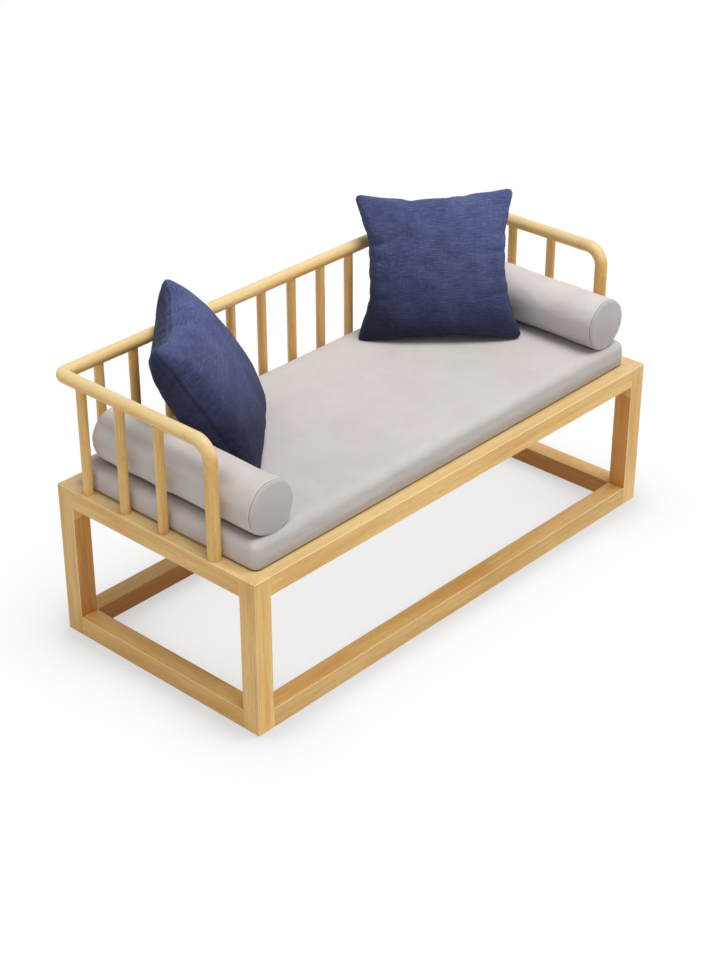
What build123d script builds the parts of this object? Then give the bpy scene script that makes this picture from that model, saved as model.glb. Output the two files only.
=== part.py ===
from build123d import *
from math import cos, radians, sin, tan
import os

# Luohan daybed: a cube-jointed hardwood base with a slatted deck, a round
# railing on turned spindles round three sides, a thin mattress, two bolsters
# and two loose pillows.
# +X runs along the length, -Y faces the sitter's feet, +Z is up.
# The origin is on the floor, under the middle of the base.

# ---------------------------------------------------------------- base frame
frame_length = 1500.0
frame_depth = 680.0
frame_height = 422.0
section = 52.0                # square section of every leg and rail
arris = 1.5                   # easing on the long edges

tenon_thickness = 14.0
tenon_height = 32.0
glue_gap = 0.15               # all round a glued tenon or dowel
mitre_gap = 0.6               # between the two tenons that meet in a leg

# --------------------------------------------------------------- slatted deck
slat_count = 10
slat_width = 85.0
slat_thickness = 16.0
slat_end_gap = 0.8            # slat end to the rail beside it
slat_margin = 18.0            # outer slat to the side rail
ledger_width = 24.0
ledger_height = 26.0
ledger_end_gap = 0.5
ledger_screw_count = 6
screw_radius = 2.0
screw_head_radius = 4.0
countersink_angle = 82.0
slat_screw_length = 36.0
ledger_screw_length = 42.0
screw_gap = 0.1               # all round a screw

# -------------------------------------------------------------------- railing
rail_height = 720.0           # axis of the top rail above the floor
rail_radius = 17.0
rail_inset = 20.0             # railing axis to the outer faces of the base
back_bend_radius = 20.0
front_bend_radius = 46.0
elbow_stub = 24.0             # straight run at each end of an elbow
front_post_setback = 149.0    # front post axis to the front of the base
post_tenon_radius = 10.0
post_tenon_length = 32.0
dowel_radius = 5.0
dowel_length = 36.0
dowel_end_gap = 0.5

spindle_radius = 12.5
spindle_tenon_radius = 7.0
spindle_foot_tenon = 28.0
spindle_head_tenon = 20.0     # how far the head tenon enters the round rail
socket_end_gap = 0.8
side_spindle_count = 3
side_spindle_start = 171.0    # front post axis to the first side spindle
side_spindle_end = 74.0       # last side spindle to the axis of the back rail
back_spindle_count = 12
back_spindle_end = 119.5      # outer back spindles to the axes of the side rails

# ----------------------------------------------------------------- upholstery
rest_gap = 0.3                # a soft piece above what it lies on
mattress_side_gap = 1.0       # mattress to the inside of the railing
mattress_front_margin = 40.0  # mattress to the front of the base
mattress_back_gap = 3.0
mattress_thickness = 70.0
mattress_corner_radius = 20.0
mattress_top_round = 14.0
mattress_bottom_round = 7.0
bolster_radius = 70.0
bolster_front_round = 10.0
bolster_back_round = 26.0
bolster_side_gap = 8.0        # bolster to the inside of the railing
bolster_front_margin = 10.0   # bolster to the front of the mattress
bolster_back_margin = 35.0    # bolster to the back of the mattress

pillow_seam = 12.0            # thickness at the sewn edge
pillow_thickness = 125.0

left_pillow_width = 378.0
left_pillow_height = 400.0
left_pillow_from_end = 399.0  # middle of its lower edge to the axis of the side rail
left_pillow_from_back = 275.0  # the same to the axis of the back rail
left_pillow_turn = 42.0       # direction of its lower edge from +X
left_pillow_lean = 33.0       # from upright

right_pillow_width = 412.0
right_pillow_height = 385.0
right_pillow_from_end = 364.0
right_pillow_from_back = 250.0
right_pillow_turn = -43.7
right_pillow_lean = 22.8

# ------------------------------------------------------------- derived places
half_length = frame_length / 2
half_depth = frame_depth / 2
leg_x = half_length - section / 2
leg_y = half_depth - section / 2
opening_length = frame_length - 2 * section
opening_depth = frame_depth - 2 * section
low_rail_z = section / 2
high_rail_z = frame_height - section / 2

rail_x = half_length - rail_inset
rail_y = half_depth - rail_inset
front_post_y = -half_depth + front_post_setback
back_elbow_reach = back_bend_radius + elbow_stub
front_elbow_reach = front_bend_radius + elbow_stub
back_rail_end = rail_x - back_elbow_reach
side_rail_back = rail_y - back_elbow_reach
side_rail_front = front_post_y + front_elbow_reach
post_top = rail_height - front_elbow_reach
dowel_hole_depth = dowel_length / 2 + dowel_end_gap

side_spindle_first = front_post_y + side_spindle_start
side_spindle_last = rail_y - side_spindle_end
side_spindle_pitch = (side_spindle_last - side_spindle_first) / (side_spindle_count - 1)
side_spindle_ys = [side_spindle_first + side_spindle_pitch * i for i in range(side_spindle_count)]
back_spindle_pitch = 2 * (rail_x - back_spindle_end) / (back_spindle_count - 1)
back_spindle_xs = [back_spindle_pitch * (i - (back_spindle_count - 1) / 2)
                   for i in range(back_spindle_count)]

slat_pitch = (opening_length - 2 * slat_margin - slat_width) / (slat_count - 1)
slat_xs = [slat_pitch * (i - (slat_count - 1) / 2) for i in range(slat_count)]
slat_length = opening_depth - 2 * slat_end_gap
slat_z = frame_height - slat_thickness
ledger_z = slat_z - ledger_height
ledger_y = opening_depth / 2 - ledger_width / 2
ledger_length = opening_length - 2 * ledger_end_gap
ledger_screw_z = ledger_z + ledger_height / 2
screw_head_top = screw_head_radius - screw_gap
screw_head_height = (screw_head_top - screw_radius) / tan(radians(countersink_angle / 2))
ledger_screw_pitch = slat_pitch * (slat_count - 2) / (ledger_screw_count - 1)
ledger_screw_xs = [ledger_screw_pitch * (i - (ledger_screw_count - 1) / 2)
                   for i in range(ledger_screw_count)]

rail_inside_x = rail_x - rail_radius
rail_inside_y = rail_y - rail_radius
mattress_length = 2 * (rail_inside_x - mattress_side_gap)
mattress_front = -half_depth + mattress_front_margin
mattress_back = rail_inside_y - mattress_back_gap
mattress_z = frame_height + rest_gap
mattress_top = mattress_z + mattress_thickness
bolster_x = rail_inside_x - bolster_side_gap - bolster_radius
bolster_front = mattress_front + bolster_front_margin
bolster_length = mattress_back - bolster_back_margin - bolster_front
bolster_z = mattress_top + rest_gap + bolster_radius

os.makedirs("parts", exist_ok=True)


def save(builder, name):
    """Label a finished piece and write it under its node name."""
    builder.part.label = name
    export_step(builder.part, f"parts/{name}.step")


# ------------------------------------------------------------------ base legs
# A leg runs the full height. Two rails meet in it at the top and two at the
# bottom, so each level has an L-shaped mortise for a pair of mitred tenons.
mortise_width = tenon_thickness + 2 * glue_gap
mortise_height = tenon_height + 2 * glue_gap
mortise_depth = section / 2 + tenon_thickness / 2 + glue_gap


def build_leg(name, side_x, side_y):
    centre_x = side_x * leg_x
    centre_y = side_y * leg_y
    with BuildPart() as leg:
        with BuildSketch(Plane.XY):
            with Locations((centre_x, centre_y)):
                Rectangle(section, section)
        extrude(amount=frame_height)
        outer_faces = (leg.faces().filter_by(Axis.X).sort_by(Axis.X)[-1 if side_x > 0 else 0],
                       leg.faces().filter_by(Axis.Y).sort_by(Axis.Y)[-1 if side_y > 0 else 0])
        top = leg.faces().sort_by(Axis.Z)[-1]
        foot = leg.faces().sort_by(Axis.Z)[0]
        eased = [edge for edge in outer_faces[0].edges() if edge in outer_faces[1].edges()]
        for face in outer_faces:
            eased += [edge for edge in face.edges() if edge in top.edges() or edge in foot.edges()]
        fillet(eased, radius=arris)
        for rail_z in (low_rail_z, high_rail_z):
            with BuildSketch(Plane.XY.offset(rail_z - mortise_height / 2)):
                along_x = side_x * (section - mortise_depth) / 2
                along_y = side_y * (section - mortise_depth) / 2
                with Locations((centre_x - along_x, centre_y)):
                    Rectangle(mortise_depth, mortise_width)
                with Locations((centre_x, centre_y - along_y)):
                    Rectangle(mortise_width, mortise_depth)
            extrude(amount=mortise_height, mode=Mode.SUBTRACT)
        # Eased inner edges stop at the rails, so the butt joints stay tight.
        inner_corners = [(centre_x - side_x * section / 2, centre_y + side_y * section / 2),
                         (centre_x + side_x * section / 2, centre_y - side_y * section / 2),
                         (centre_x - side_x * section / 2, centre_y - side_y * section / 2)]
        with BuildSketch(Plane.XY.offset(section)):
            with Locations(*inner_corners):
                Rectangle(arris, arris, rotation=45)
        extrude(amount=frame_height - 2 * section, mode=Mode.SUBTRACT)
    save(leg, name)


build_leg("leg_front_left", -1, -1)
build_leg("leg_front_right", 1, -1)
build_leg("leg_back_left", -1, 1)
build_leg("leg_back_right", 1, 1)


# ----------------------------------------------------------------- base rails
# A rail is drawn on a plane whose x runs along it and whose y points into the
# frame. Its tenons are mitred towards the tenon of the rail round the corner.
front_plane = Plane(origin=(0, -leg_y, 0), x_dir=(1, 0, 0), z_dir=(0, 0, 1))
back_plane = Plane(origin=(0, leg_y, 0), x_dir=(-1, 0, 0), z_dir=(0, 0, 1))
left_plane = Plane(origin=(-leg_x, 0, 0), x_dir=(0, -1, 0), z_dir=(0, 0, 1))
right_plane = Plane(origin=(leg_x, 0, 0), x_dir=(0, 1, 0), z_dir=(0, 0, 1))


spindle_socket = spindle_tenon_radius + glue_gap
foot_socket_depth = spindle_foot_tenon + socket_end_gap
post_socket = post_tenon_radius + glue_gap
post_socket_depth = post_tenon_length + socket_end_gap


def build_rail(name, plane, length, centre_z, spindle_feet=(), post_feet=(), screw_places=()):
    shoulder = length / 2
    long_side = shoulder + section / 2 + tenon_thickness / 2 - mitre_gap
    short_side = shoulder + section / 2 - tenon_thickness / 2 - mitre_gap
    with BuildPart() as rail:
        with BuildSketch(plane.offset(centre_z - section / 2)):
            Rectangle(length, section)
        extrude(amount=section)
        along = Axis(plane.origin, plane.x_dir)
        fillet(rail.edges().filter_by(along), radius=arris)
        with BuildSketch(plane.offset(centre_z - tenon_height / 2)):
            with BuildLine():
                Polyline((-long_side, -tenon_thickness / 2), (long_side, -tenon_thickness / 2),
                         (short_side, tenon_thickness / 2), (-short_side, tenon_thickness / 2),
                         close=True)
            make_face()
        extrude(amount=tenon_height)
        for feet, hole_radius, hole_depth in ((spindle_feet, spindle_socket, foot_socket_depth),
                                              (post_feet, post_socket, post_socket_depth)):
            if feet:
                with BuildSketch(Plane.XY.offset(frame_height)):
                    with Locations(*feet):
                        Circle(hole_radius)
                extrude(amount=-hole_depth, mode=Mode.SUBTRACT)
        if screw_places:
            inner_face = Plane(origin=plane.origin, x_dir=plane.x_dir, z_dir=-plane.y_dir)
            with BuildSketch(inner_face.offset(-section / 2)):
                with Locations(*screw_places):
                    Circle(screw_radius + screw_gap)
            extrude(amount=ledger_screw_length - ledger_width + socket_end_gap, mode=Mode.SUBTRACT)
    save(rail, name)


left_feet = [(-rail_x, y) for y in side_spindle_ys]
right_feet = [(rail_x, y) for y in side_spindle_ys]
back_feet = [(x, rail_y) for x in back_spindle_xs]

build_rail("bottom_rail_front", front_plane, opening_length, low_rail_z)
build_rail("bottom_rail_back", back_plane, opening_length, low_rail_z)
build_rail("bottom_rail_left", left_plane, opening_depth, low_rail_z)
build_rail("bottom_rail_right", right_plane, opening_depth, low_rail_z)
build_rail("top_rail_front", front_plane, opening_length, high_rail_z,
           screw_places=[(x, ledger_screw_z) for x in ledger_screw_xs])
build_rail("top_rail_back", back_plane, opening_length, high_rail_z, spindle_feet=back_feet,
           screw_places=[(x, ledger_screw_z) for x in ledger_screw_xs])
build_rail("top_rail_left", left_plane, opening_depth, high_rail_z, spindle_feet=left_feet,
           post_feet=[(-rail_x, front_post_y)])
build_rail("top_rail_right", right_plane, opening_depth, high_rail_z, spindle_feet=right_feet,
           post_feet=[(rail_x, front_post_y)])


# --------------------------------------------------------------- slatted deck
# Ledgers are screwed inside the long top rails, and the slats drop on them
# flush with the top of the frame.
def build_ledger(name, side_y):
    centre_y = side_y * ledger_y
    inner_y = side_y * (ledger_y - ledger_width / 2)
    with BuildPart() as ledger:
        with BuildSketch(Plane.XY.offset(ledger_z)):
            with Locations((0, centre_y)):
                Rectangle(ledger_length, ledger_width)
        extrude(amount=ledger_height)
        inner_face = Plane(origin=(0, inner_y, ledger_screw_z), x_dir=(side_y, 0, 0),
                           z_dir=(0, -side_y, 0))
        with Locations(inner_face):
            with Locations(*[(x, 0) for x in ledger_screw_xs]):
                CounterSinkHole(radius=screw_radius + screw_gap,
                                counter_sink_radius=screw_head_radius + screw_gap,
                                counter_sink_angle=countersink_angle)
        with BuildSketch(Plane.XY.offset(slat_z)):
            with Locations(*[(x, centre_y) for x in slat_xs]):
                Circle(screw_radius + screw_gap)
        extrude(amount=-(slat_screw_length - slat_thickness + socket_end_gap), mode=Mode.SUBTRACT)
    save(ledger, name)


build_ledger("slat_ledger_front", -1)
build_ledger("slat_ledger_back", 1)


def build_slat(name, centre_x):
    with BuildPart() as slat:
        with BuildSketch(Plane.XY.offset(slat_z)):
            with Locations((centre_x, 0)):
                Rectangle(slat_width, slat_length)
        extrude(amount=slat_thickness)
        fillet(slat.edges().filter_by(Axis.Y).sort_by(Axis.Z)[-2:], radius=arris)
        with Locations((centre_x, -ledger_y, frame_height), (centre_x, ledger_y, frame_height)):
            CounterSinkHole(radius=screw_radius + screw_gap,
                            counter_sink_radius=screw_head_radius + screw_gap,
                            counter_sink_angle=countersink_angle)
    save(slat, name)


for number, slat_x in enumerate(slat_xs, start=1):
    build_slat(f"slat_{number:02d}", slat_x)


def build_screws(name, length, seats):
    """One countersunk screw at each seat; a seat is a plane on the head's top."""
    with BuildPart() as screws:
        for seat in seats:
            profile_plane = Plane(origin=seat.origin, x_dir=seat.x_dir, z_dir=seat.y_dir)
            with BuildSketch(profile_plane):
                with BuildLine():
                    Polyline((0, 0), (screw_head_top, 0), (screw_radius, screw_head_height),
                             (screw_radius, length - screw_head_height), (0, length), close=True)
                make_face()
            revolve(axis=Axis(seat.origin, seat.z_dir))
    save(screws, name)


slat_seats = [Plane(origin=(x, y, frame_height - screw_gap), x_dir=(1, 0, 0), z_dir=(0, 0, 1))
              for x in slat_xs for y in (-ledger_y, ledger_y)]
ledger_seats = [Plane(origin=(x, side * (ledger_y - ledger_width / 2 + screw_gap), ledger_screw_z),
                      x_dir=(1, 0, 0), z_dir=(0, -side, 0))
                for x in ledger_screw_xs for side in (-1, 1)]
build_screws("slat_screws", slat_screw_length, slat_seats)
build_screws("ledger_screws", ledger_screw_length, ledger_seats)


# -------------------------------------------------------------------- railing
# Straight rounds joined by turned elbows. A blind dowel holds each joint, and
# the spindle tenons enter the underside of the round.
def build_round(name, start, end, spindle_heads=(), dowel_ends=(True, True), foot_tenon=0.0):
    """A straight round from start to end, drilled for dowels and spindles."""
    run = Vector(*end) - Vector(*start)
    with BuildPart() as round_rail:
        with BuildSketch(Plane(origin=start, z_dir=run)):
            Circle(rail_radius)
        extrude(amount=run.length)
        if foot_tenon:
            with BuildSketch(Plane(origin=start, z_dir=run)):
                Circle(post_tenon_radius)
            extrude(amount=-foot_tenon)
        for place, direction, drilled in ((start, run, dowel_ends[0]), (end, -run, dowel_ends[1])):
            if drilled:
                with BuildSketch(Plane(origin=place, z_dir=direction)):
                    Circle(dowel_radius + glue_gap)
                extrude(amount=dowel_hole_depth, mode=Mode.SUBTRACT)
        if spindle_heads:
            with BuildSketch(Plane.XY.offset(rail_height - rail_radius)):
                with Locations(*spindle_heads):
                    Circle(spindle_socket)
            extrude(amount=spindle_head_tenon + socket_end_gap, mode=Mode.SUBTRACT)
            with BuildSketch(Plane.XY.offset(rail_height - rail_radius)):
                with Locations(*spindle_heads):
                    Circle(spindle_socket)
            extrude(amount=-rail_radius, mode=Mode.SUBTRACT)
    save(round_rail, name)


def build_elbow(name, start, corner, end, bend_radius):
    """A quarter bend with a straight stub and a dowel hole at each end."""
    with BuildPart() as elbow:
        with BuildLine() as path:
            FilletPolyline(start, corner, end, radius=bend_radius)
        with BuildSketch(Plane(origin=start, z_dir=Vector(*corner) - Vector(*start))):
            Circle(rail_radius)
        sweep(path=path.line)
        for place in (start, end):
            with BuildSketch(Plane(origin=place, z_dir=Vector(*corner) - Vector(*place))):
                Circle(dowel_radius + glue_gap)
            extrude(amount=dowel_hole_depth, mode=Mode.SUBTRACT)
    save(elbow, name)


build_round("back_rail", (-back_rail_end, rail_y, rail_height), (back_rail_end, rail_y, rail_height),
            back_feet)
dowel_joints = [((-back_rail_end, rail_y, rail_height), (1, 0, 0)),
                ((back_rail_end, rail_y, rail_height), (1, 0, 0))]

for side, side_x, feet in (("left", -1, left_feet), ("right", 1, right_feet)):
    axis_x = side_x * rail_x
    side_back = (axis_x, side_rail_back, rail_height)
    side_front = (axis_x, side_rail_front, rail_height)
    post_head = (axis_x, front_post_y, post_top)
    build_round(f"side_rail_{side}", side_front, side_back, feet)
    build_round(f"front_post_{side}", (axis_x, front_post_y, frame_height), post_head,
                dowel_ends=(False, True), foot_tenon=post_tenon_length)
    build_elbow(f"back_elbow_{side}", (side_x * back_rail_end, rail_y, rail_height),
                (axis_x, rail_y, rail_height), side_back, back_bend_radius)
    build_elbow(f"front_elbow_{side}", side_front,
                (axis_x, front_post_y, rail_height), post_head, front_bend_radius)
    dowel_joints += [(side_back, (0, 1, 0)), (side_front, (0, 1, 0)), (post_head, (0, 0, 1))]

with BuildPart() as rail_dowels:
    for place, direction in dowel_joints:
        with BuildSketch(Plane(origin=place, z_dir=direction).offset(-dowel_length / 2)):
            Circle(dowel_radius)
        extrude(amount=dowel_length)
save(rail_dowels, "rail_dowels")


# A spindle has a round tenon at each end. Its head is coped to sit round the
# underside of the rail.
def build_spindle(name, foot, rail_direction):
    foot_x, foot_y = foot
    with BuildPart() as spindle:
        with BuildSketch(Plane.XY.offset(frame_height)):
            with Locations((foot_x, foot_y)):
                Circle(spindle_radius)
        extrude(amount=rail_height - frame_height)
        cope_start = Vector(foot_x, foot_y, rail_height) - Vector(*rail_direction) * 2 * spindle_radius
        with BuildSketch(Plane(origin=cope_start, z_dir=rail_direction)):
            Circle(rail_radius + glue_gap)
        extrude(amount=4 * spindle_radius, mode=Mode.SUBTRACT)
        with BuildSketch(Plane.XY.offset(frame_height - spindle_foot_tenon)):
            with Locations((foot_x, foot_y)):
                Circle(spindle_tenon_radius)
        extrude(amount=spindle_foot_tenon + rail_height - frame_height - rail_radius + spindle_head_tenon)
    save(spindle, name)


for number, foot in enumerate(left_feet, start=1):
    build_spindle(f"spindle_left_{number}", foot, (0, 1, 0))
for number, foot in enumerate(right_feet, start=1):
    build_spindle(f"spindle_right_{number}", foot, (0, 1, 0))
for number, foot in enumerate(back_feet, start=1):
    build_spindle(f"spindle_back_{number:02d}", foot, (1, 0, 0))


# ----------------------------------------------------------------- upholstery
with BuildPart() as seat_cushion:
    with BuildSketch(Plane.XY.offset(mattress_z)):
        with Locations((0, (mattress_front + mattress_back) / 2)):
            RectangleRounded(mattress_length, mattress_back - mattress_front, mattress_corner_radius)
    extrude(amount=mattress_thickness)
    fillet(seat_cushion.faces().sort_by(Axis.Z)[-1].edges(), radius=mattress_top_round)
    fillet(seat_cushion.faces().sort_by(Axis.Z)[0].edges(), radius=mattress_bottom_round)
save(seat_cushion, "seat_cushion")

for side, side_x in (("left", -1), ("right", 1)):
    with BuildPart() as bolster:
        with BuildSketch(Plane(origin=(side_x * bolster_x, bolster_front, bolster_z), z_dir=(0, 1, 0))):
            Circle(bolster_radius)
        extrude(amount=bolster_length)
        fillet(bolster.edges().filter_by(GeomType.CIRCLE).sort_by(Axis.Y)[0], radius=bolster_front_round)
        fillet(bolster.edges().filter_by(GeomType.CIRCLE).sort_by(Axis.Y)[-1], radius=bolster_back_round)
    save(bolster, f"bolster_{side}")


def build_pillow(name, foot, turn, lean, width, height):
    """A knife-edge pillow: lens sections stacked up its height, then leaned."""
    across = Vector(cos(radians(turn)), sin(radians(turn)), 0)
    behind = Vector(-sin(radians(turn)), cos(radians(turn)), 0)
    up = behind * sin(radians(lean)) + Vector(0, 0, cos(radians(lean)))
    lowest = mattress_top + rest_gap + pillow_seam / 2 * sin(radians(lean))
    base = Vector(foot[0], foot[1], lowest)
    # share of the height, share of the width, share of the crown
    stations = ((0.0, 1.0, 0.0), (0.18, 0.96, 0.62), (0.5, 0.93, 1.0), (0.82, 0.96, 0.62), (1.0, 1.0, 0.0))
    with BuildPart() as pillow:
        for rise, breadth, crown in stations:
            half_width = width * breadth / 2
            half_thickness = pillow_seam / 2 + (pillow_thickness - pillow_seam) / 2 * crown
            with BuildSketch(Plane(origin=base + up * height * rise, x_dir=across, z_dir=up)):
                with BuildLine():
                    Spline((-half_width, -pillow_seam / 2), (0, -half_thickness),
                           (half_width, -pillow_seam / 2),
                           tangents=((1, -crown), (1, crown)))
                    Line((half_width, -pillow_seam / 2), (half_width, pillow_seam / 2))
                    Spline((half_width, pillow_seam / 2), (0, half_thickness),
                           (-half_width, pillow_seam / 2),
                           tangents=((-1, crown), (-1, -crown)))
                    Line((-half_width, pillow_seam / 2), (-half_width, -pillow_seam / 2))
                make_face()
        loft()
    save(pillow, name)


left_pillow_foot = (-rail_x + left_pillow_from_end, rail_y - left_pillow_from_back)
right_pillow_foot = (rail_x - right_pillow_from_end, rail_y - right_pillow_from_back)
build_pillow("pillow_left", left_pillow_foot, left_pillow_turn, left_pillow_lean,
             left_pillow_width, left_pillow_height)
build_pillow("pillow_right", right_pillow_foot, right_pillow_turn, right_pillow_lean,
             right_pillow_width, right_pillow_height)
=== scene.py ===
# %% [markdown]
# # A luohan daybed: timber, mattress, bolsters and pillows
# The timber frame arrives finished from the CAD model. What is left is its grain, and the soft pieces
# that lie on it. The frame comes first, because every later piece takes its place from a part of it.

# %% Load the frame
import math

import bpy
import numpy as np
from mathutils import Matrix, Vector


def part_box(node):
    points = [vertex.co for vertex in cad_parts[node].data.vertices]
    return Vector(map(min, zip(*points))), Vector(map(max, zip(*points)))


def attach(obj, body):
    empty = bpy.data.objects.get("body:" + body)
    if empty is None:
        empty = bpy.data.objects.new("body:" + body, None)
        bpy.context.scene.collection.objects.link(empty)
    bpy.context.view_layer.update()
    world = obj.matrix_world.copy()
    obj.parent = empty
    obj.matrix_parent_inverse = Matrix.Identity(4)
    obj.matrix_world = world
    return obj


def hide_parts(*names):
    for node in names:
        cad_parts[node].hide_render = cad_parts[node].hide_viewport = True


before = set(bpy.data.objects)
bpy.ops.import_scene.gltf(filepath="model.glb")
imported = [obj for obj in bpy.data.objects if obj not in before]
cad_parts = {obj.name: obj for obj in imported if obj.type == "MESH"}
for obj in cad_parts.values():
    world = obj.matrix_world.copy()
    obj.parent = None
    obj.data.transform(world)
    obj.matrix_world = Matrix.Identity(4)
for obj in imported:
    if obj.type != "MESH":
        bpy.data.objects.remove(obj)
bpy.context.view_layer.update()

# %% [markdown]
# ## Places taken from the frame
# A soft piece has to follow the frame if the frame changes, so the script reads each place from the CAD
# piece that it stands for and types no place twice. Lengths are in metres. A small clearance keeps
# cloth off its neighbours, as the nap of a real cover does.


# %% Where things are
def corners(node):
    """The lowest and highest corner of a CAD piece, as arrays."""
    low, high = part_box(node)
    return np.array(low), np.array(high)


clearance = 0.0004
mattress_low, mattress_high = corners("seat_cushion")
mattress_size = mattress_high - mattress_low
mattress_middle = (mattress_high + mattress_low) / 2
mattress_top = mattress_high[2]
rail_low, rail_high = corners("back_rail")
rail_radius = (rail_high[2] - rail_low[2]) / 2
rail_axis_y = (rail_high[1] + rail_low[1]) / 2
rail_axis_z = (rail_high[2] + rail_low[2]) / 2
print("mattress top", round(mattress_top, 4), "back rail", round(rail_axis_y, 4), round(rail_axis_z, 4))

# %% [markdown]
# ## Camera
# The picture is taken from above the near left corner, with a long lens. The camera looks along one
# direction, given by a turn about the vertical and a height above the horizon. A camera looks down its
# own -Z axis, so tilting it by a quarter turn less the height, then turning it about Z, aims it.

# %% Camera
camera_turn = math.radians(-47.643)
camera_height = math.radians(29.988)
camera_place = (-3.3502, -3.0307, 2.8512)
camera_lens = 74.45  # mm, on a sensor 36 mm along the picture's longer side

camera_data = bpy.data.cameras.new("view_camera")
camera_data.lens = camera_lens
camera_data.sensor_width = 36.0
camera_data.clip_end = 100.0
camera = bpy.data.objects.new("view_camera", camera_data)
camera.location = camera_place
camera.rotation_euler = (math.pi / 2 - camera_height, 0.0, camera_turn)
bpy.context.scene.collection.objects.link(camera)
bpy.context.scene.camera = camera
print("camera at", camera_place)

# %% [markdown]
# ## Node helpers
# Materials below are built from nodes in code. One helper fills a node's inputs: a number, colour or
# vector sets an input, and another node's output is wired to it. A second adds a node and fills it. The
# short ones after that stand for the nodes that come up again and again, so that a material reads like
# a sum.


# %% Fill a node and add a node
def fill(tree, node, **sockets):
    """Set or wire a node's inputs. A double underscore in a name is a space, and _0 is input 0."""
    for key, value in sockets.items():
        socket = node.inputs[int(key[1:]) if key[0] == "_" else key.replace("__", " ")]
        if isinstance(value, bpy.types.NodeSocket):
            tree.links.new(value, socket)
        else:
            socket.default_value = value
    return node


def put(tree, kind, settings=None, **sockets):
    """Add a node, set its properties, then fill its inputs."""
    made = tree.nodes.new(kind)
    for key, value in (settings or {}).items():
        setattr(made, key, value)
    return fill(tree, made, **sockets)


print("fill and put ready")


# %% Short helpers for common nodes
def maths(tree, operation, first, second=0.0):
    """One Math node, giving its output."""
    return put(tree, "ShaderNodeMath", {"operation": operation}, _0=first, _1=second).outputs[0]


def times(tree, first, second):
    """first x second, and so on for the next two."""
    return maths(tree, "MULTIPLY", first, second)


def plus(tree, first, second):
    return maths(tree, "ADD", first, second)


def minus(tree, first, second):
    return maths(tree, "SUBTRACT", first, second)


def vectors(tree, operation, first, second=(0.0, 0.0, 0.0)):
    """One Vector Math node, giving its output."""
    return put(tree, "ShaderNodeVectorMath", {"operation": operation}, _0=first, _1=second).outputs[0]


def parts(tree, vector):
    """The X, Y and Z of a vector, as three outputs."""
    return put(tree, "ShaderNodeSeparateXYZ", None, _0=vector).outputs


def solid_place(tree):
    """The place of a point on its piece, in metres."""
    return put(tree, "ShaderNodeTexCoord").outputs["Object"]


def surface_normal(tree):
    return put(tree, "ShaderNodeNewGeometry").outputs["Normal"]


def noise(tree, place, scale, detail=2.0, roughness=0.5):
    """A noise texture's grey value. Three scales squeeze it more one way than another."""
    if not isinstance(scale, float):
        place, scale = vectors(tree, "MULTIPLY", place, scale), 1.0
    return put(tree, "ShaderNodeTexNoise", None, Vector=place, Scale=scale, Detail=detail,
               Roughness=roughness).outputs[0]


def ramp(tree, value, low, high, to_low=0.0, to_high=1.0):
    """A smooth step from to_low to to_high as value goes from low to high."""
    return put(tree, "ShaderNodeMapRange", {"interpolation_type": "SMOOTHSTEP"},
               _0=value, _1=low, _2=high, _3=to_low, _4=to_high).outputs[0]


def blend_colour(tree, share, first, second, mode="MIX"):
    """Mix two colours by a share from 0 to 1."""
    return put(tree, "ShaderNodeMix", {"data_type": "RGBA", "blend_type": mode},
               _0=share, _6=first, _7=second).outputs[2]


print("node helpers ready")

# %% [markdown]
# ## Groups and materials
# An effect that several materials share, such as the grain of wood, is a node group with named inputs
# and outputs. It is written once, and each material gives it its own numbers.


# %% Start a group, use a group, start a material
def new_group(name, inputs, outputs):
    """A node group whose inputs are {name: (type, default)}, with what it is given and its end node."""
    tree = bpy.data.node_groups.new(name, "ShaderNodeTree")
    for label, (kind, default) in inputs.items():
        socket = tree.interface.new_socket(label, in_out="INPUT", socket_type="NodeSocket" + kind)
        if default is not None:
            socket.default_value = default
    for label, kind in outputs.items():
        tree.interface.new_socket(label, in_out="OUTPUT", socket_type="NodeSocket" + kind)
    start = tree.nodes.new("NodeGroupInput")
    return tree, start.outputs, tree.nodes.new("NodeGroupOutput")


def use_group(tree, group, **sockets):
    """Place a group in a tree, giving its outputs."""
    return put(tree, "ShaderNodeGroup", {"node_tree": group}, **sockets).outputs


def new_material(name):
    """A material with a Principled BSDF, giving the material, its tree and the shader."""
    material = bpy.data.materials.new(name)
    material.use_nodes = True
    tree = material.node_tree
    return material, tree, tree.nodes["Principled BSDF"]


print("group helpers ready")

# %% [markdown]
# ## Wood grain as a solid
# A board is cut from a trunk of nested rings, so its grain is a pattern in space and not a picture on
# its faces. The group below takes a place measured from the heart of the tree, with Z up the trunk. The
# distance from the heart, bent a little by noise, gives the rings: the face along the grain then shows
# long lines, and a sawn end shows arcs, with no extra work. Oak also has open pores, which are short
# dark dashes along the grain in the early part of each ring.

# %% Marks along the grain
# Patches that lie over the rings: squeeze across and along the trunk, detail, where the noise starts
# to show and is full, greatest share, and colour. Blotches come first, then veins and pale streaks.
grain_marks = (
    ((26.0, 26.0, 4.0), 4.0, 0.42, 0.70, 0.65, "Late wood"),
    ((260.0, 260.0, 5.0), 2.0, 0.55, 0.72, 0.75, "Late wood"),
    ((70.0, 70.0, 2.4), 2.0, 0.50, 0.72, 0.60, "Early wood"),
)
print("kinds of mark:", len(grain_marks))


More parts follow.
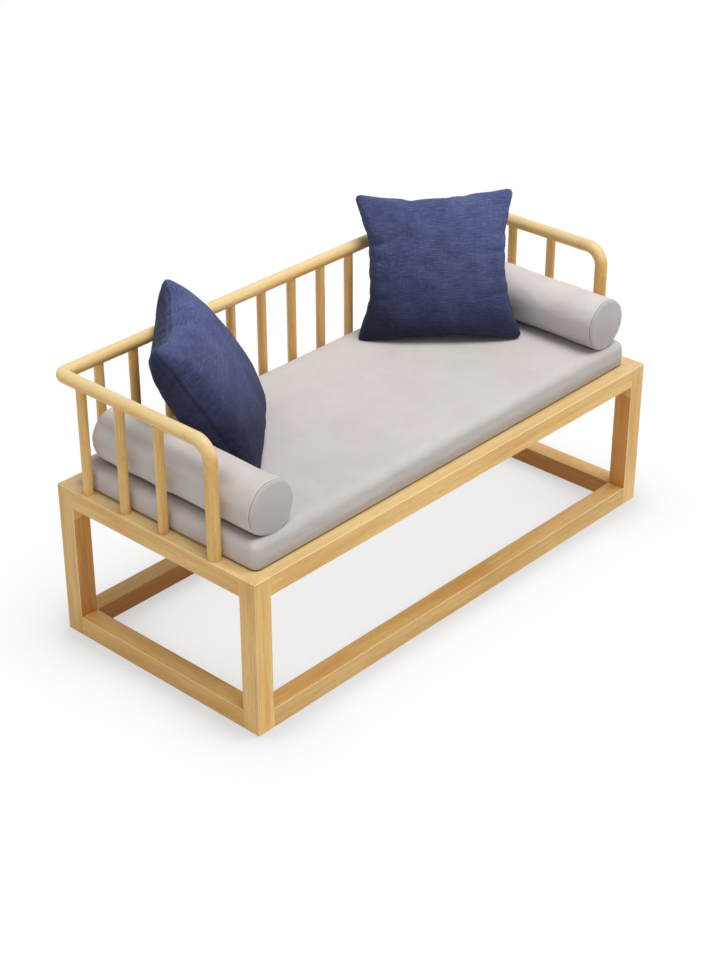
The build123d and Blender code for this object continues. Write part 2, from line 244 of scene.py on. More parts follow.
# %% Wood grain group
def make_wood_grain():
    """Rings from the distance to the heart, dashes for pores, streaks for fibres."""
    tree, given, out = new_group(
        "wood_grain",
        {"Place": ("Vector", None), "Ring width": ("Float", 0.003), "Waviness": ("Float", 0.004),
         "Early wood": ("Color", (0.7, 0.5, 0.3, 1)), "Late wood": ("Color", (0.5, 0.3, 0.15, 1)),
         "Pore colour": ("Color", (0.3, 0.17, 0.08, 1)), "Pores": ("Float", 1.0), "Figure": ("Float", 0.6)},
        {"Color": "Color", "Polish": "Float", "Height": "Float"})
    place = given["Place"]

    # The heart's distance, bent by a noise that changes slowly up the trunk, counted in rings.
    trunk = vectors(tree, "MULTIPLY", place, (1.0, 1.0, 0.2))
    bend = put(tree, "ShaderNodeTexNoise", None, Vector=trunk, Scale=8.0, Detail=4.0).outputs[1]
    bend = vectors(tree, "SUBTRACT", bend, (0.5, 0.5, 0.5))
    bend = put(tree, "ShaderNodeVectorMath", {"operation": "SCALE"}, _0=bend, Scale=given["Waviness"])
    flat = vectors(tree, "MULTIPLY", vectors(tree, "ADD", place, bend.outputs[0]), (1.0, 1.0, 0.0))
    radius = put(tree, "ShaderNodeVectorMath", {"operation": "LENGTH"}, _0=flat).outputs[1]
    rings = maths(tree, "DIVIDE", radius, given["Ring width"])
    uneven = put(tree, "ShaderNodeTexNoise", {"noise_dimensions": "1D"}, W=times(tree, rings, 0.45))
    rings = plus(tree, rings, times(tree, uneven.outputs[0], 2.4))

    # Each ring darkens towards its late wood and ends at once. Some years and places show less.
    phase = maths(tree, "FRACT", rings)
    late = times(tree, ramp(tree, phase, 0.15, 0.86), ramp(tree, phase, 0.9, 1.0, 1.0, 0.0))
    year = put(tree, "ShaderNodeTexWhiteNoise", {"noise_dimensions": "1D"}, W=maths(tree, "FLOOR", rings))
    late = times(tree, late, ramp(tree, year.outputs[0], 0.0, 1.0, 0.1, 1.0))
    shown = noise(tree, place, (26.0, 26.0, 3.5))
    late = times(tree, late, ramp(tree, shown, 0.35, 0.65, 0.35, 1.0))
    late = times(tree, late, given["Figure"])
    tone = blend_colour(tree, late, given["Early wood"], given["Late wood"])

    # Fine fibres, then the marks, then short flecks.
    fibres = noise(tree, place, (900.0, 900.0, 14.0), 3.0, 0.6)
    tone = blend_colour(tree, 1.0, tone, ramp(tree, fibres, 0.3, 0.72, 0.87, 1.08), "MULTIPLY")
    for squeeze, detail, begins, full, share, colour in grain_marks:
        mark_there = ramp(tree, noise(tree, place, squeeze, detail), begins, full, 0.0, share)
        tone = blend_colour(tree, mark_there, tone, given[colour])
    fleck = ramp(tree, noise(tree, place, (300.0, 300.0, 42.0)), 0.62, 0.80, 0.0, 0.55)
    tone = blend_colour(tree, times(tree, fleck, given["Pores"]), tone, given["Pore colour"])

    # Open pores lie in the early part of each ring.
    pores = ramp(tree, noise(tree, place, (1500.0, 1500.0, 70.0), 1.0), 0.64, 0.74)
    early = ramp(tree, phase, 0.05, 0.55, 1.0, 0.25)
    pores = times(tree, times(tree, pores, early), given["Pores"])
    tone = blend_colour(tree, pores, tone, given["Pore colour"])
    polish = plus(tree, ramp(tree, fibres, 0.2, 0.8, 0.36, 0.46), times(tree, pores, 0.25))
    relief = minus(tree, times(tree, fibres, 0.35), pores)
    fill(tree, out, Color=tone, Polish=polish, Height=plus(tree, relief, times(tree, late, 0.25)))
    return tree


wood_grain = make_wood_grain()
print("group:", wood_grain.name, "nodes:", len(wood_grain.nodes))

# %% [markdown]
# ## Eased edges
# Sanded timber catches the light on its edges. The Bevel node gives the normal that the surface would have
# with a small rounding. Where it differs from the true normal there is an edge. The group gives that
# difference as a mask and passes on the rounded normal. Where an edge is already rounded in the model, its
# normal lies between two axes, and that gives the arris mask, along which square timbers get a painted
# highlight.


# %% Eased edge group
def make_eased_edge():
    """Mask of the places within Radius of an edge, the rounded normal there, and the arris mask."""
    tree, given, out = new_group("eased_edge", {"Radius": ("Float", 0.001)},
                                 {"Mask": "Float", "Normal": "Vector", "Arris": "Float"})
    rounded = put(tree, "ShaderNodeBevel", {"samples": 4}, Radius=given["Radius"]).outputs[0]
    true_normal = surface_normal(tree)
    match = put(tree, "ShaderNodeVectorMath", {"operation": "DOT_PRODUCT"}, _0=rounded, _1=true_normal)
    axes = parts(tree, vectors(tree, "ABSOLUTE", true_normal))
    largest = maths(tree, "MAXIMUM", axes[0], maths(tree, "MAXIMUM", axes[1], axes[2]))
    fill(tree, out, Mask=ramp(tree, match.outputs[1], 0.72, 0.998, 1.0, 0.0), Normal=rounded,
         Arris=ramp(tree, largest, 0.80, 0.995, 1.0, 0.0))
    return tree


eased_edge = make_eased_edge()
print("group:", eased_edge.name)

# %% [markdown]
# ## Painted light and shade on the wood
# The wood's colour carries painted light and shade, given by masks from this group. Painted shade darkens
# the faces that look in under the seat and the upper face of the front bottom rail, which the seat shades.
# Above the seat, faces that look up get a painted tint, duller and less saturated, for the overhead light
# on them, and the tops of the railing get a painted highlight. The group tells them from their normals: a
# face looks inwards when its normal points from its side of the frame towards the other.

# %% Heights of the painted light and shade
# Where it lies by height and depth: painted shade on the inner faces and the front bottom rail's top below
# the seat, and a painted highlight on the railing above its foot.
under_seat = 0.34
front_rail_back = corners("bottom_rail_front")[1][1]
railing_foot = rail_low[2]
print("brown below", under_seat, "worn by feet before", round(front_rail_back, 3),
      "rubbed above", round(railing_foot, 3))


# %% Group of masks for painted light and shade
def make_painted_wood_masks():
    """Masks for painted light and shade: faces that look inwards or up under the seat, faces that look up
    above it, and the tops of the railing.
    """
    tree, given, out = new_group("painted_wood_masks", {"Place": ("Vector", None)},
                                 {kind: "Float" for kind in ("Inwards", "Upwards", "Faded", "Rubbed")})
    place = parts(tree, given["Place"])
    facing = parts(tree, surface_normal(tree))
    below = ramp(tree, place[2], under_seat - 0.004, under_seat, 1.0, 0.0)
    outwards = [times(tree, facing[i], maths(tree, "SIGN", place[i])) for i in (0, 1)]
    inwards = times(tree, maths(tree, "MINIMUM", outwards[0], outwards[1]), -1.0)
    front = ramp(tree, place[1], front_rail_back + 0.002, front_rail_back + 0.018, 1.0, 0.0)
    high = ramp(tree, place[2], railing_foot - 0.02, railing_foot + 0.005)
    fill(tree, out,
         Inwards=times(tree, ramp(tree, inwards, 0.4, 0.9), below),
         Upwards=times(tree, ramp(tree, facing[2], 0.4, 0.9), times(tree, below, front)),
         Faded=times(tree, ramp(tree, facing[2], 0.6, 0.95), minus(tree, 1.0, below)),
         Rubbed=times(tree, ramp(tree, facing[2], -0.3, 0.6), high))
    return tree


painted_wood_masks = make_painted_wood_masks()
print("group:", painted_wood_masks.name)

# %% [markdown]
# ## Timber of the frame
# Each timber was sawn from its own place in a tree, so no two share a grain. A Mapping node of the
# texture kind moves the heart of the tree to a point near the timber and turns the trunk along it. The
# distance and the bearing of that point are drawn from a seeded table, one row for each piece. The
# elbows are cut from the solid, so their grain runs straight across the bend.

# %% Grain directions
# For each way the grain can run: the trunk's rotation, and two directions across it.
grain_ways = {
    "x": ((0.0, math.pi / 2, 0.0), (0, 1, 0), (0, 0, 1)),
    "y": ((-math.pi / 2, 0.0, 0.0), (1, 0, 0), (0, 0, 1)),
    "z": ((0.0, 0.0, 0.0), (1, 0, 0), (0, 1, 0)),
    "down_and_forward": ((-math.pi / 4, 0.0, 0.0), (1, 0, 0), (0, 0.707, -0.707)),
    "left_corner": ((-math.pi / 2, 0.0, -math.pi / 4), (0.707, -0.707, 0), (0, 0, 1)),
    "right_corner": ((-math.pi / 2, 0.0, math.pi / 4), (0.707, 0.707, 0), (0, 0, 1)),
}


def grain_of(node):
    """Which way the grain of a CAD piece runs."""
    if node.startswith("front_elbow"):
        return "down_and_forward"
    if node.startswith("back_elbow"):
        return "left_corner" if node.endswith("left") else "right_corner"
    if node.startswith(("leg", "spindle", "front_post")):
        return "z"
    if node.startswith(("slat_ledger", "back_rail")) or node.endswith(("rail_front", "rail_back")):
        return "x"
    return "y"


print({node: grain_of(node) for node in ("back_rail", "side_rail_left", "leg_back_left")})

# %% Kinds of wood
light_oak = {"Ring__width": 0.0068, "Waviness": 0.020, "Early__wood": (0.90, 0.585, 0.215, 1),
             "Late__wood": (0.71, 0.375, 0.095, 1), "Pore__colour": (0.44, 0.205, 0.05, 1),
             "Pores": 0.9, "Figure": 0.85}
planed_pine = {"Ring__width": 0.0052, "Waviness": 0.016, "Early__wood": (0.74, 0.56, 0.33, 1),
               "Late__wood": (0.55, 0.34, 0.16, 1), "Pore__colour": (0.5, 0.32, 0.16, 1),
               "Pores": 0.0, "Figure": 0.7}
turned_beech = {"Ring__width": 0.0022, "Waviness": 0.006, "Early__wood": (0.70, 0.50, 0.31, 1),
                "Late__wood": (0.60, 0.39, 0.22, 1), "Pore__colour": (0.40, 0.24, 0.12, 1),
                "Pores": 0.35, "Figure": 0.4}


def wood_of(node):
    """Oak for the frame and the railing, pine for the deck, beech for the dowels."""
    if node == "rail_dowels":
        return turned_beech
    return planed_pine if node.startswith("slat") else light_oak


print("dowels' ring width:", wood_of("rail_dowels")["Ring__width"])

# %% Painted light and shade of the wood
# For each mask: how strongly it shows, its colour, and whether that colour tints the wood or covers it.
# The first two are painted shade under the seat. The third is a duller, less saturated painted tint on the
# tops above the seat, for the overhead light. The last is a painted highlight on the railing's tops.
painted_wood_light = (
    ("Inwards", 0.8, (0.82, 0.57, 0.35, 1), "MULTIPLY"),
    ("Upwards", 0.7, (0.80, 0.76, 0.74, 1), "MULTIPLY"),
    ("Faded", 0.45, (0.56, 0.47, 0.28, 1), "MIX"),
    ("Rubbed", 0.42, (1.0, 0.84, 0.46, 1), "MIX"),
)
arris_highlight_share = 0.9
arris_highlight_colour = (1.0, 0.86, 0.58, 1)
arris_rounding = 0.0012
print("kinds of wear:", [kind[0] for kind in painted_wood_light])


# %% One board's material
def timber(name, wood_kind, centre, grain, bearing, distance, tone, square):
    """One board: its heart lies at the given distance and bearing from its centre.

    Only square timbers get a painted highlight along their arris."""
    material, tree, shader = new_material(name)
    rotation, first, second = grain_ways[grain]
    off = math.cos(bearing) * np.array(first) + math.sin(bearing) * np.array(second)
    heart = centre + distance * off
    place = solid_place(tree)
    turned = put(tree, "ShaderNodeMapping", {"vector_type": "TEXTURE"}, Vector=place,
                 Location=tuple(heart), Rotation=rotation).outputs[0]
    wood = use_group(tree, wood_grain, Place=turned, **wood_kind)
    painted_masks = use_group(tree, painted_wood_masks, Place=place)
    edge = use_group(tree, eased_edge, Radius=arris_rounding)
    colour = wood["Color"]
    # Painted shade and painted light from the masks, in turn.
    for mask, share, painted_colour, mode in painted_wood_light:
        colour = blend_colour(tree, times(tree, painted_masks[mask], share), colour, painted_colour, mode)
    # Painted highlight along the arris of square timbers.
    if square:
        colour = blend_colour(tree, times(tree, edge["Arris"], arris_highlight_share), colour, arris_highlight_colour)
    tinted = put(tree, "ShaderNodeHueSaturation", None, Color=colour, Value=tone).outputs[0]
    relief = put(tree, "ShaderNodeBump", None, Height=wood["Height"], Normal=edge["Normal"],
                 Strength=0.25, Distance=0.0003).outputs[0]
    fill(tree, shader, Base__Color=tinted, Roughness=wood["Polish"], Normal=relief,
         Specular__IOR__Level=0.25, Coat__Weight=0.12, Coat__Roughness=0.3)
    return material


def finish_piece(node, material):
    """Give a CAD piece its one material."""
    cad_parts[node].data.materials.clear()
    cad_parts[node].data.materials.append(material)


print("timber ready")

# %% Timber materials
draw = np.random.default_rng(7)
steel_nodes = ("slat_screws", "ledger_screws")
soft_nodes = ("seat_cushion", "bolster_left", "bolster_right", "pillow_left", "pillow_right")
timber_nodes = [node for node in sorted(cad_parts) if node not in steel_nodes + soft_nodes]
front_rail_painted_shade = 0.86  # painted shade: the front bottom rail is darkened as a whole, low under the seat
for node in timber_nodes:
    low, high = corners(node)
    bearing, distance, tone = draw.uniform((0, 0.04, 0.95), (2 * math.pi, 0.13, 1.05))
    square = node.startswith(("leg", "top_rail", "bottom_rail", "slat"))
    if not square:
        tone = 0.5 + 0.5 * tone  # the railing was picked from one batch, so its tones are close
    if node == "bottom_rail_front":
        tone *= front_rail_painted_shade
    finish_piece(node, timber("wood_" + node, wood_of(node), (low + high) / 2, grain_of(node),
                              bearing, distance, tone, square))
print("timber pieces:", len(timber_nodes))

# %% [markdown]
# ## Screws
# Zinc-plated screws are grey metal with a slight mottle. They hide under the mattress, and show only
# when it is lifted.


# %% Screw steel
def make_screw_steel():
    """Plated steel, paler on its edges."""
    material, tree, shader = new_material("screw_steel")
    mottle = noise(tree, solid_place(tree), 900.0, 3.0)
    edge = use_group(tree, eased_edge, Radius=0.0003)
    tone = blend_colour(tree, mottle, (0.42, 0.43, 0.44, 1), (0.62, 0.62, 0.61, 1))
    tone = blend_colour(tree, times(tree, edge["Mask"], 0.5), tone, (0.75, 0.75, 0.74, 1))
    fill(tree, shader, Base__Color=tone, Roughness=ramp(tree, mottle, 0.3, 0.7, 0.28, 0.42), Metallic=1.0)
    return material


screw_steel = make_screw_steel()
for node in steel_nodes:
    finish_piece(node, screw_steel)
print("screw groups:", len(steel_nodes))

# %% [markdown]
# ## Plain weave
# Both cloths are woven over and under. In a plain weave the threads swap places at every crossing, like
# the squares of a chessboard. The group takes a place on the cloth in metres. The sine of each
# direction gives round threads, and the product of two sines says which thread is on top. A slub is a
# thick stretch of yarn: noise that is long one way and thin the other, cut off high, gives short pale
# dashes along and across the cloth.


# %% Weave group
def make_plain_weave():
    """Round threads over and under, with slubs both ways."""
    tree, given, out = new_group(
        "plain_weave",
        {"Place": ("Vector", None), "Thread": ("Float", 0.001), "Slub length": ("Float", 0.02),
         "Slub width": ("Float", 0.0016), "Cross slubs": ("Float", 0.7)},
        {"Height": "Float", "Gap": "Float", "Slub": "Float", "Streak": "Float"})
    place = parts(tree, given["Place"])
    turns = [times(tree, maths(tree, "DIVIDE", place[i], given["Thread"]), math.pi) for i in (0, 1)]
    humps = [maths(tree, "ABSOLUTE", maths(tree, "SINE", turn)) for turn in turns]
    quarter = [maths(tree, "SINE", plus(tree, turn, math.pi / 2)) for turn in turns]
    over = ramp(tree, times(tree, quarter[0], quarter[1]), -0.35, 0.35)
    height = plus(tree, times(tree, humps[0], over), times(tree, humps[1], minus(tree, 1.0, over)))
    gap = ramp(tree, maths(tree, "MAXIMUM", humps[0], humps[1]), 0.45, 0.9, 1.0, 0.0)

    slubs, streaks = [], []
    for long_way, short_way, elsewhere in ((0, 1, 0.0), (1, 0, 7.3)):
        yarn = put(tree, "ShaderNodeCombineXYZ", None,
                   _0=maths(tree, "DIVIDE", place[long_way], given["Slub length"]),
                   _1=maths(tree, "DIVIDE", place[short_way], given["Slub width"]), _2=elsewhere).outputs[0]
        slubs.append(ramp(tree, noise(tree, yarn, 1.0), 0.56, 0.74))
        streaks.append(noise(tree, yarn, (0.55, 1.0, 1.0), 3.0))
    slub = maths(tree, "MAXIMUM", slubs[0], times(tree, slubs[1], given["Cross slubs"]))
    cross = times(tree, given["Cross slubs"], 0.5)
    streak = plus(tree, times(tree, streaks[0], minus(tree, 1.0, cross)), times(tree, streaks[1], cross))
    fill(tree, out, Height=plus(tree, height, times(tree, slub, 0.8)), Gap=gap, Slub=slub, Streak=streak)
    return tree


plain_weave = make_plain_weave()
print("group:", plain_weave.name, "nodes:", len(plain_weave.nodes))

# %% [markdown]
# ## Grey cover cloth and blue linen
# The mattress and the bolsters wear a fine matt cloth with a soft nap, so it has a little sheen and a
# slow mottle where it was stroked. The pillows are linen: darker between the threads, paler on the
# slubs. Both darken along a seam, where the cloth turns in. Both also carry painted shade where they turn
# away from the overhead light or where other pieces shade them, as on a wall, an end disc or the foot of a
# pillow. Two attributes mark those places. One marks the seams, and at the foot of the mattress it also
# paints contact shade. The other holds the painted shade, where a value below 0 is a paler painted
# highlight.


# %% Cloth materials
def cloth(name, *, thread, body, deep, pale, streaky, slubs, slub_size, cross_slubs, relief, mottle_size,
          sheen, painted_shade_level):
    """A woven cloth: body colour, deep colour in the gaps, pale colour on the slubs.

    The last argument is how bright the cloth stays under full painted shade."""
    material, tree, shader = new_material(name)
    place = put(tree, "ShaderNodeUVMap", {"uv_map": "cloth"}).outputs[0]
    weave = use_group(tree, plain_weave, Place=place, Thread=thread, Slub__length=slub_size[0],
                      Slub__width=slub_size[1], Cross__slubs=cross_slubs)
    solid = solid_place(tree)
    mottle = noise(tree, solid, 1 / mottle_size, 3.0)
    tone = blend_colour(tree, ramp(tree, mottle, 0.35, 0.68, 0.0, 0.45), body, deep)
    tone = blend_colour(tree, ramp(tree, weave["Streak"], 0.40, 0.60, streaky, 0.0), tone, deep)
    tone = blend_colour(tree, times(tree, weave["Gap"], 0.45), tone, deep)
    tone = blend_colour(tree, times(tree, weave["Slub"], slubs), tone, pale)
    seam, painted_shade = (put(tree, "ShaderNodeAttribute", {"attribute_name": label}).outputs["Fac"]
                 for label in ("seam", "painted_shade"))
    # Painted shade darkens the cloth, and a value below 0 paints a highlight. The seam attribute darkens
    # the seams and paints contact shade at the mattress's foot.
    painted_darkening = minus(tree, 1.0, times(tree, painted_shade, 1 - painted_shade_level))
    shade = times(tree, ramp(tree, seam, 0.3, 1.0, 1.0, 0.42), painted_darkening)
    fuzzy = plus(tree, weave["Height"], times(tree, noise(tree, solid, 2600.0), 0.5))
    raised = put(tree, "ShaderNodeBump", None, Height=fuzzy, Strength=relief, Distance=thread * 0.35)
    fill(tree, shader, Base__Color=blend_colour(tree, 1.0, tone, shade, "MULTIPLY"),
         Roughness=ramp(tree, mottle, 0.3, 0.7, 0.8, 0.92), Normal=raised.outputs[0],
         Sheen__Weight=sheen, Sheen__Roughness=0.5, Specular__IOR__Level=0.2)
    return material


grey_cloth = cloth("grey_cover_cloth", thread=0.0009, body=(0.675, 0.63, 0.605, 1),
                   deep=(0.58, 0.535, 0.51, 1), pale=(0.75, 0.71, 0.68, 1), streaky=0.35, slubs=0.15,
                   slub_size=(0.012, 0.0011), cross_slubs=0.7, relief=0.35, mottle_size=0.09,
                   sheen=0.12, painted_shade_level=0.6)
blue_linen = cloth("blue_linen", thread=0.0013, body=(0.128, 0.152, 0.345, 1),
                   deep=(0.052, 0.062, 0.165, 1), pale=(0.26, 0.30, 0.53, 1), streaky=0.6, slubs=0.55,
                   slub_size=(0.020, 0.0025), cross_slubs=0.4, relief=0.7, mottle_size=0.07,
                   sheen=0.03, painted_shade_level=0.2)
print("cloths:", grey_cloth.name, blue_linen.name)

# %% [markdown]
# ## One way to make every soft piece
# A cushion is two panels and, where it is thick, a band between them. Each panel is a grid of points
# whose border follows the outline. Rows of the border, moved along a profile, make the band. The
# helpers below work on whole arrays. To round a panel's corners they use the concentric map, which
# turns squares round a corner into arcs, so the grid has no pole and no torn corner.


# %% Panels with rounded corners
def spread(half, fine, fine_count, plain_count):
    """Grid lines from -half to half, packed in a fine zone at each end by a cosine."""
    turn = np.linspace(0, np.pi / 2, fine_count + 1)
    end = half - fine * (1 - np.sin(turn))
    middle = np.linspace(-(half - fine), half - fine, plain_count + 1)
    return np.concatenate([-end[::-1][:-1], middle, end[1:]])


def rounded_panel(xs, ys, radius):
    """Lay a grid of lines out as a flat panel with rounded corners, and say how far in each point is.

    Beyond the corner's centre each point has two distances a and b. The larger becomes the radius of
    its arc, and their ratio its angle, so that squares become arcs."""
    x, y = np.meshgrid(xs, ys, indexing="ij")
    centre_x, centre_y = xs[-1] - radius, ys[-1] - radius
    a = np.maximum(np.abs(x) - centre_x, 0)
    b = np.maximum(np.abs(y) - centre_y, 0)
    arc = np.maximum(a, b)
    ratio = np.minimum(a, b) / np.maximum(arc, 1e-12)
    angle = np.where(a >= b, ratio, 2 - ratio) * np.pi / 4
    inside = (a > 0) & (b > 0)
    new_x = np.where(inside, np.sign(x) * (centre_x + arc * np.cos(angle)), x)
    new_y = np.where(inside, np.sign(y) * (centre_y + arc * np.sin(angle)), y)
    inset = np.minimum(xs[-1] - np.abs(x), ys[-1] - np.abs(y))
    return new_x, new_y, inset


def border_of(count_x, count_y):
    """Row and column numbers of a grid's border, once round, counter-clockwise."""
    rows = np.concatenate([np.arange(count_x), np.full(count_y, count_x),
                           np.arange(count_x, 0, -1), np.zeros(count_y, int)])
    columns = np.concatenate([np.zeros(count_x, int), np.arange(count_y),
                              np.full(count_x, count_y), np.arange(count_y, 0, -1)])
    return rows, columns


print("a panel's border has", len(border_of(4, 3)[0]), "points on a 4 by 3 grid")


# %% Bands and skins
def band_faces(loops, points):
    """Faces and cloth map of a band, given as loops of point numbers from top to bottom.

    The map runs round the band by the second loop's length, and down it by each row's mean height."""
    first = points[np.append(loops[1], loops[1][0])]
    around = np.append(0, np.cumsum(np.linalg.norm(np.diff(first, axis=0), axis=1)))
    faces, maps = [], []
    down = 0.0
    for upper, lower in zip(loops[:-1], loops[1:]):
        step = np.linalg.norm(points[upper] - points[lower], axis=1).mean()
        faces.append(np.stack([lower, np.roll(lower, -1), np.roll(upper, -1), upper], -1))
        places = ((around[:-1], down + step), (around[1:], down + step), (around[1:], down),
                  (around[:-1], down))
        maps.append(np.stack([np.stack([s, np.full(len(s), -t)], -1) for s, t in places], 1))
        down += step
    return faces, maps


def closed_skin(name, top, bottom, band=None):
    """Join two panels, given as (nx, ny, 3) grids, with rows of a band given as (rows, border, 3).

    With no band the panels share their border. The UV map named cloth is in metres: a panel's own
    plan, and round and down the band."""
    number = np.arange(top.shape[0] * top.shape[1]).reshape(top.shape[:2])
    ring = number[border_of(top.shape[0] - 1, top.shape[1] - 1)]
    cells = np.stack([number[:-1, :-1], number[1:, :-1], number[1:, 1:], number[:-1, 1:]], -1)
    cells = cells.reshape(-1, 4)
    plan = top[..., :2].reshape(-1, 2)
    points = [top.reshape(-1, 3)]
    faces, maps = [cells], [plan[cells]]
    if band is None:
        on_border = np.zeros(number.size, bool)
        on_border[ring] = True
        below = np.where(on_border, np.arange(number.size), number.size + np.cumsum(~on_border) - 1)
        points.append(bottom.reshape(-1, 3)[~on_border])
    else:
        points += [band.reshape(-1, 3), bottom.reshape(-1, 3)]
        below = number.size + len(band) * len(ring) + np.arange(number.size)
        rows = [number.size + len(ring) * i + np.arange(len(ring)) for i in range(len(band))]
        more_faces, more_maps = band_faces([ring, *rows, below[ring]], np.concatenate(points))
        faces += more_faces
        maps += more_maps
    faces.append(below[cells][:, ::-1])
    maps.append((plan * (1, -1))[cells][:, ::-1])

    mesh = bpy.data.meshes.new(name)
    mesh.from_pydata(np.concatenate(points).tolist(), [], np.concatenate(faces).tolist())
    uv = mesh.uv_layers.new(name="cloth")
    uv.data.foreach_set("uv", np.concatenate(maps).astype(np.float32).ravel())
    mesh.polygons.foreach_set("use_smooth", np.ones(len(mesh.polygons), bool))
    piece = bpy.data.objects.new(name, mesh)
    bpy.context.scene.collection.objects.link(piece)
    return piece


print("skins ready")


# %% Points and marks of a skin
def read_points(piece):
    """A mesh's points as an array of rows."""
    points = np.empty(len(piece.data.vertices) * 3, np.float32)
    piece.data.vertices.foreach_get("co", points)
    return points.reshape(-1, 3).astype(float)


def write_points(piece, points):
    """Move a mesh's points to an array's rows."""
    piece.data.vertices.foreach_set("co", points.astype(np.float32).ravel())
    piece.data.update()


def mark(piece, label, amount):
    """Store an amount for each point, such as its seam or nap, for the cloth's material."""
    layer = piece.data.attributes.new(label, "FLOAT", "POINT")
    layer.data.foreach_set("value", np.asarray(amount, np.float32))


def smooth_once(piece):
    """One live subdivision, the same in the view and in the render."""
    finer = piece.modifiers.new("finer", "SUBSURF")
    finer.levels = 1
    finer.render_levels = 1


print("points and marks ready")

# %% [markdown]
# ## Blowing a cover up
# Filling pushes on a cover from inside. Cloth simulation does the same with a pressure, and the cloth's
# own stiffness then makes the wrinkles that no formula gives. The helper steps the solver, reads the
# result, holds every point softly within a cap of where it started, and takes the simulation off
# again, so the piece is left as plain mesh. Gravity is off, because the filling carries the cloth.


# %% Inflate helper
def inflate(piece, frames, pressure, bending, held=None, cap=None):
    """Swell a closed cover for some frames. Points in held stay, and none moves further than cap."""
    before = read_points(piece)
    filling = piece.modifiers.new("filling", "CLOTH")
    settings = filling.settings
    settings.quality = 5
    settings.mass = 0.3
    settings.bending_stiffness = bending
    settings.use_pressure = True
    settings.uniform_pressure_force = pressure
    settings.effector_weights.gravity = 0
    filling.collision_settings.use_collision = False
    if held is not None:
        pins = piece.vertex_groups.new(name="held")
        pins.add(np.flatnonzero(held).tolist(), 1.0, "REPLACE")
        settings.vertex_group_mass = "held"
    filling.point_cache.frame_start = 1
    filling.point_cache.frame_end = frames
    scene = bpy.context.scene
    for number in range(1, frames + 1):
        scene.frame_set(number)
    after = read_points(piece.evaluated_get(bpy.context.evaluated_depsgraph_get()))
    piece.modifiers.remove(filling)
    piece.vertex_groups.clear()
    scene.frame_set(1)
    move = after - before
    if cap is not None:
        length = np.maximum(np.linalg.norm(move, axis=1, keepdims=True), 1e-9)
        move *= np.tanh(length / cap) * cap / length
    write_points(piece, before + move)
    print(piece.name, "moved up to", round(float(np.linalg.norm(move, axis=1).max()) * 1000, 1), "mm")


# %% [markdown]
# ## Slow unevenness
# No stuffed piece is perfectly even. A sum of a few sine waves with seeded directions and phases gives
# a slow swell over a surface, always the same on each run.


# %% Slow waves
def slow_waves(points, length, seed, count=9):
    """Sum of count sine waves over the points, about the given length each, from -1 to 1."""
    choose = np.random.default_rng(seed)
    directions = choose.normal(size=(count, 3))
    directions /= np.linalg.norm(directions, axis=1, keepdims=True)
    pitch = 2 * np.pi / (length * choose.uniform(0.7, 1.5, count))
    phase = choose.uniform(0, 2 * np.pi, count)
    return np.sin((points @ directions.T) * pitch + phase).sum(1) / math.sqrt(count) / 1.4


print("waves at the origin:", slow_waves(np.zeros((1, 3)), 0.1, 1).round(3))

# %% [markdown]
# ## Mattress
# The mattress is foam in a sewn cover: flat underneath, soft at its upper edge, a little crowned on
# top, and dented where the bolsters lie. Its section is a profile: in from the top edge by a quarter
# round, down a wall that swells slightly, and under by a smaller quarter round. The panel's height is
# that quarter round as a function of the inset from the outline.

# %% Mattress sizes
corner_radius = 0.020
top_round = 0.021
bottom_round = 0.007
wall_swell = 0.0012
crown = 0.005
front_skew = 0.007  # how far the front left corner was pulled forward
bolster_low, bolster_high = corners("bolster_left")
bolster_radius = (bolster_high[2] - bolster_low[2]) / 2
bolster_x = abs((bolster_high[0] + bolster_low[0]) / 2)
bolster_z = (bolster_high[2] + bolster_low[2]) / 2
bolster_sinks = {"left": 0.0095, "right": 0.0}
dent_spare = 0.0012
dent_width = 0.038
dent_fade = 0.02
crown_reach = bolster_x - bolster_radius + 0.02
print("mattress", mattress_size.round(4), "bolster radius", round(bolster_radius, 4))


# %% Mattress top
def seat_surface(x, y):
    """Height of the mattress top: a low dome, with a dent along each bolster."""
    dome = crown * np.clip(1 - (x / crown_reach) ** 2, 0, 1) ** 0.7
    dome *= np.clip(1 - ((y - mattress_middle[1]) / (mattress_size[1] / 2)) ** 2, 0, 1) ** 0.5
    pressed = sum((bolster_sinks[side] + dent_spare) * np.exp(-((x - way * bolster_x) / dent_width) ** 2)
                  for side, way in (("left", -1), ("right", 1)))
    behind_front = 1 + np.tanh((y - bolster_low[1]) / dent_fade)
    before_back = 1 + np.tanh((bolster_high[1] - y) / dent_fade)
    return mattress_top + dome - pressed * (behind_front * before_back / 4)


def quarter_round(inset, radius):
    """How far a rounded edge lies below the face, at an inset from the outline."""
    short = np.clip(radius - inset, 0, radius)
    return radius - np.sqrt(radius ** 2 - short ** 2)


print("seat at its middle:", round(float(seat_surface(0.0, mattress_middle[1])), 4))


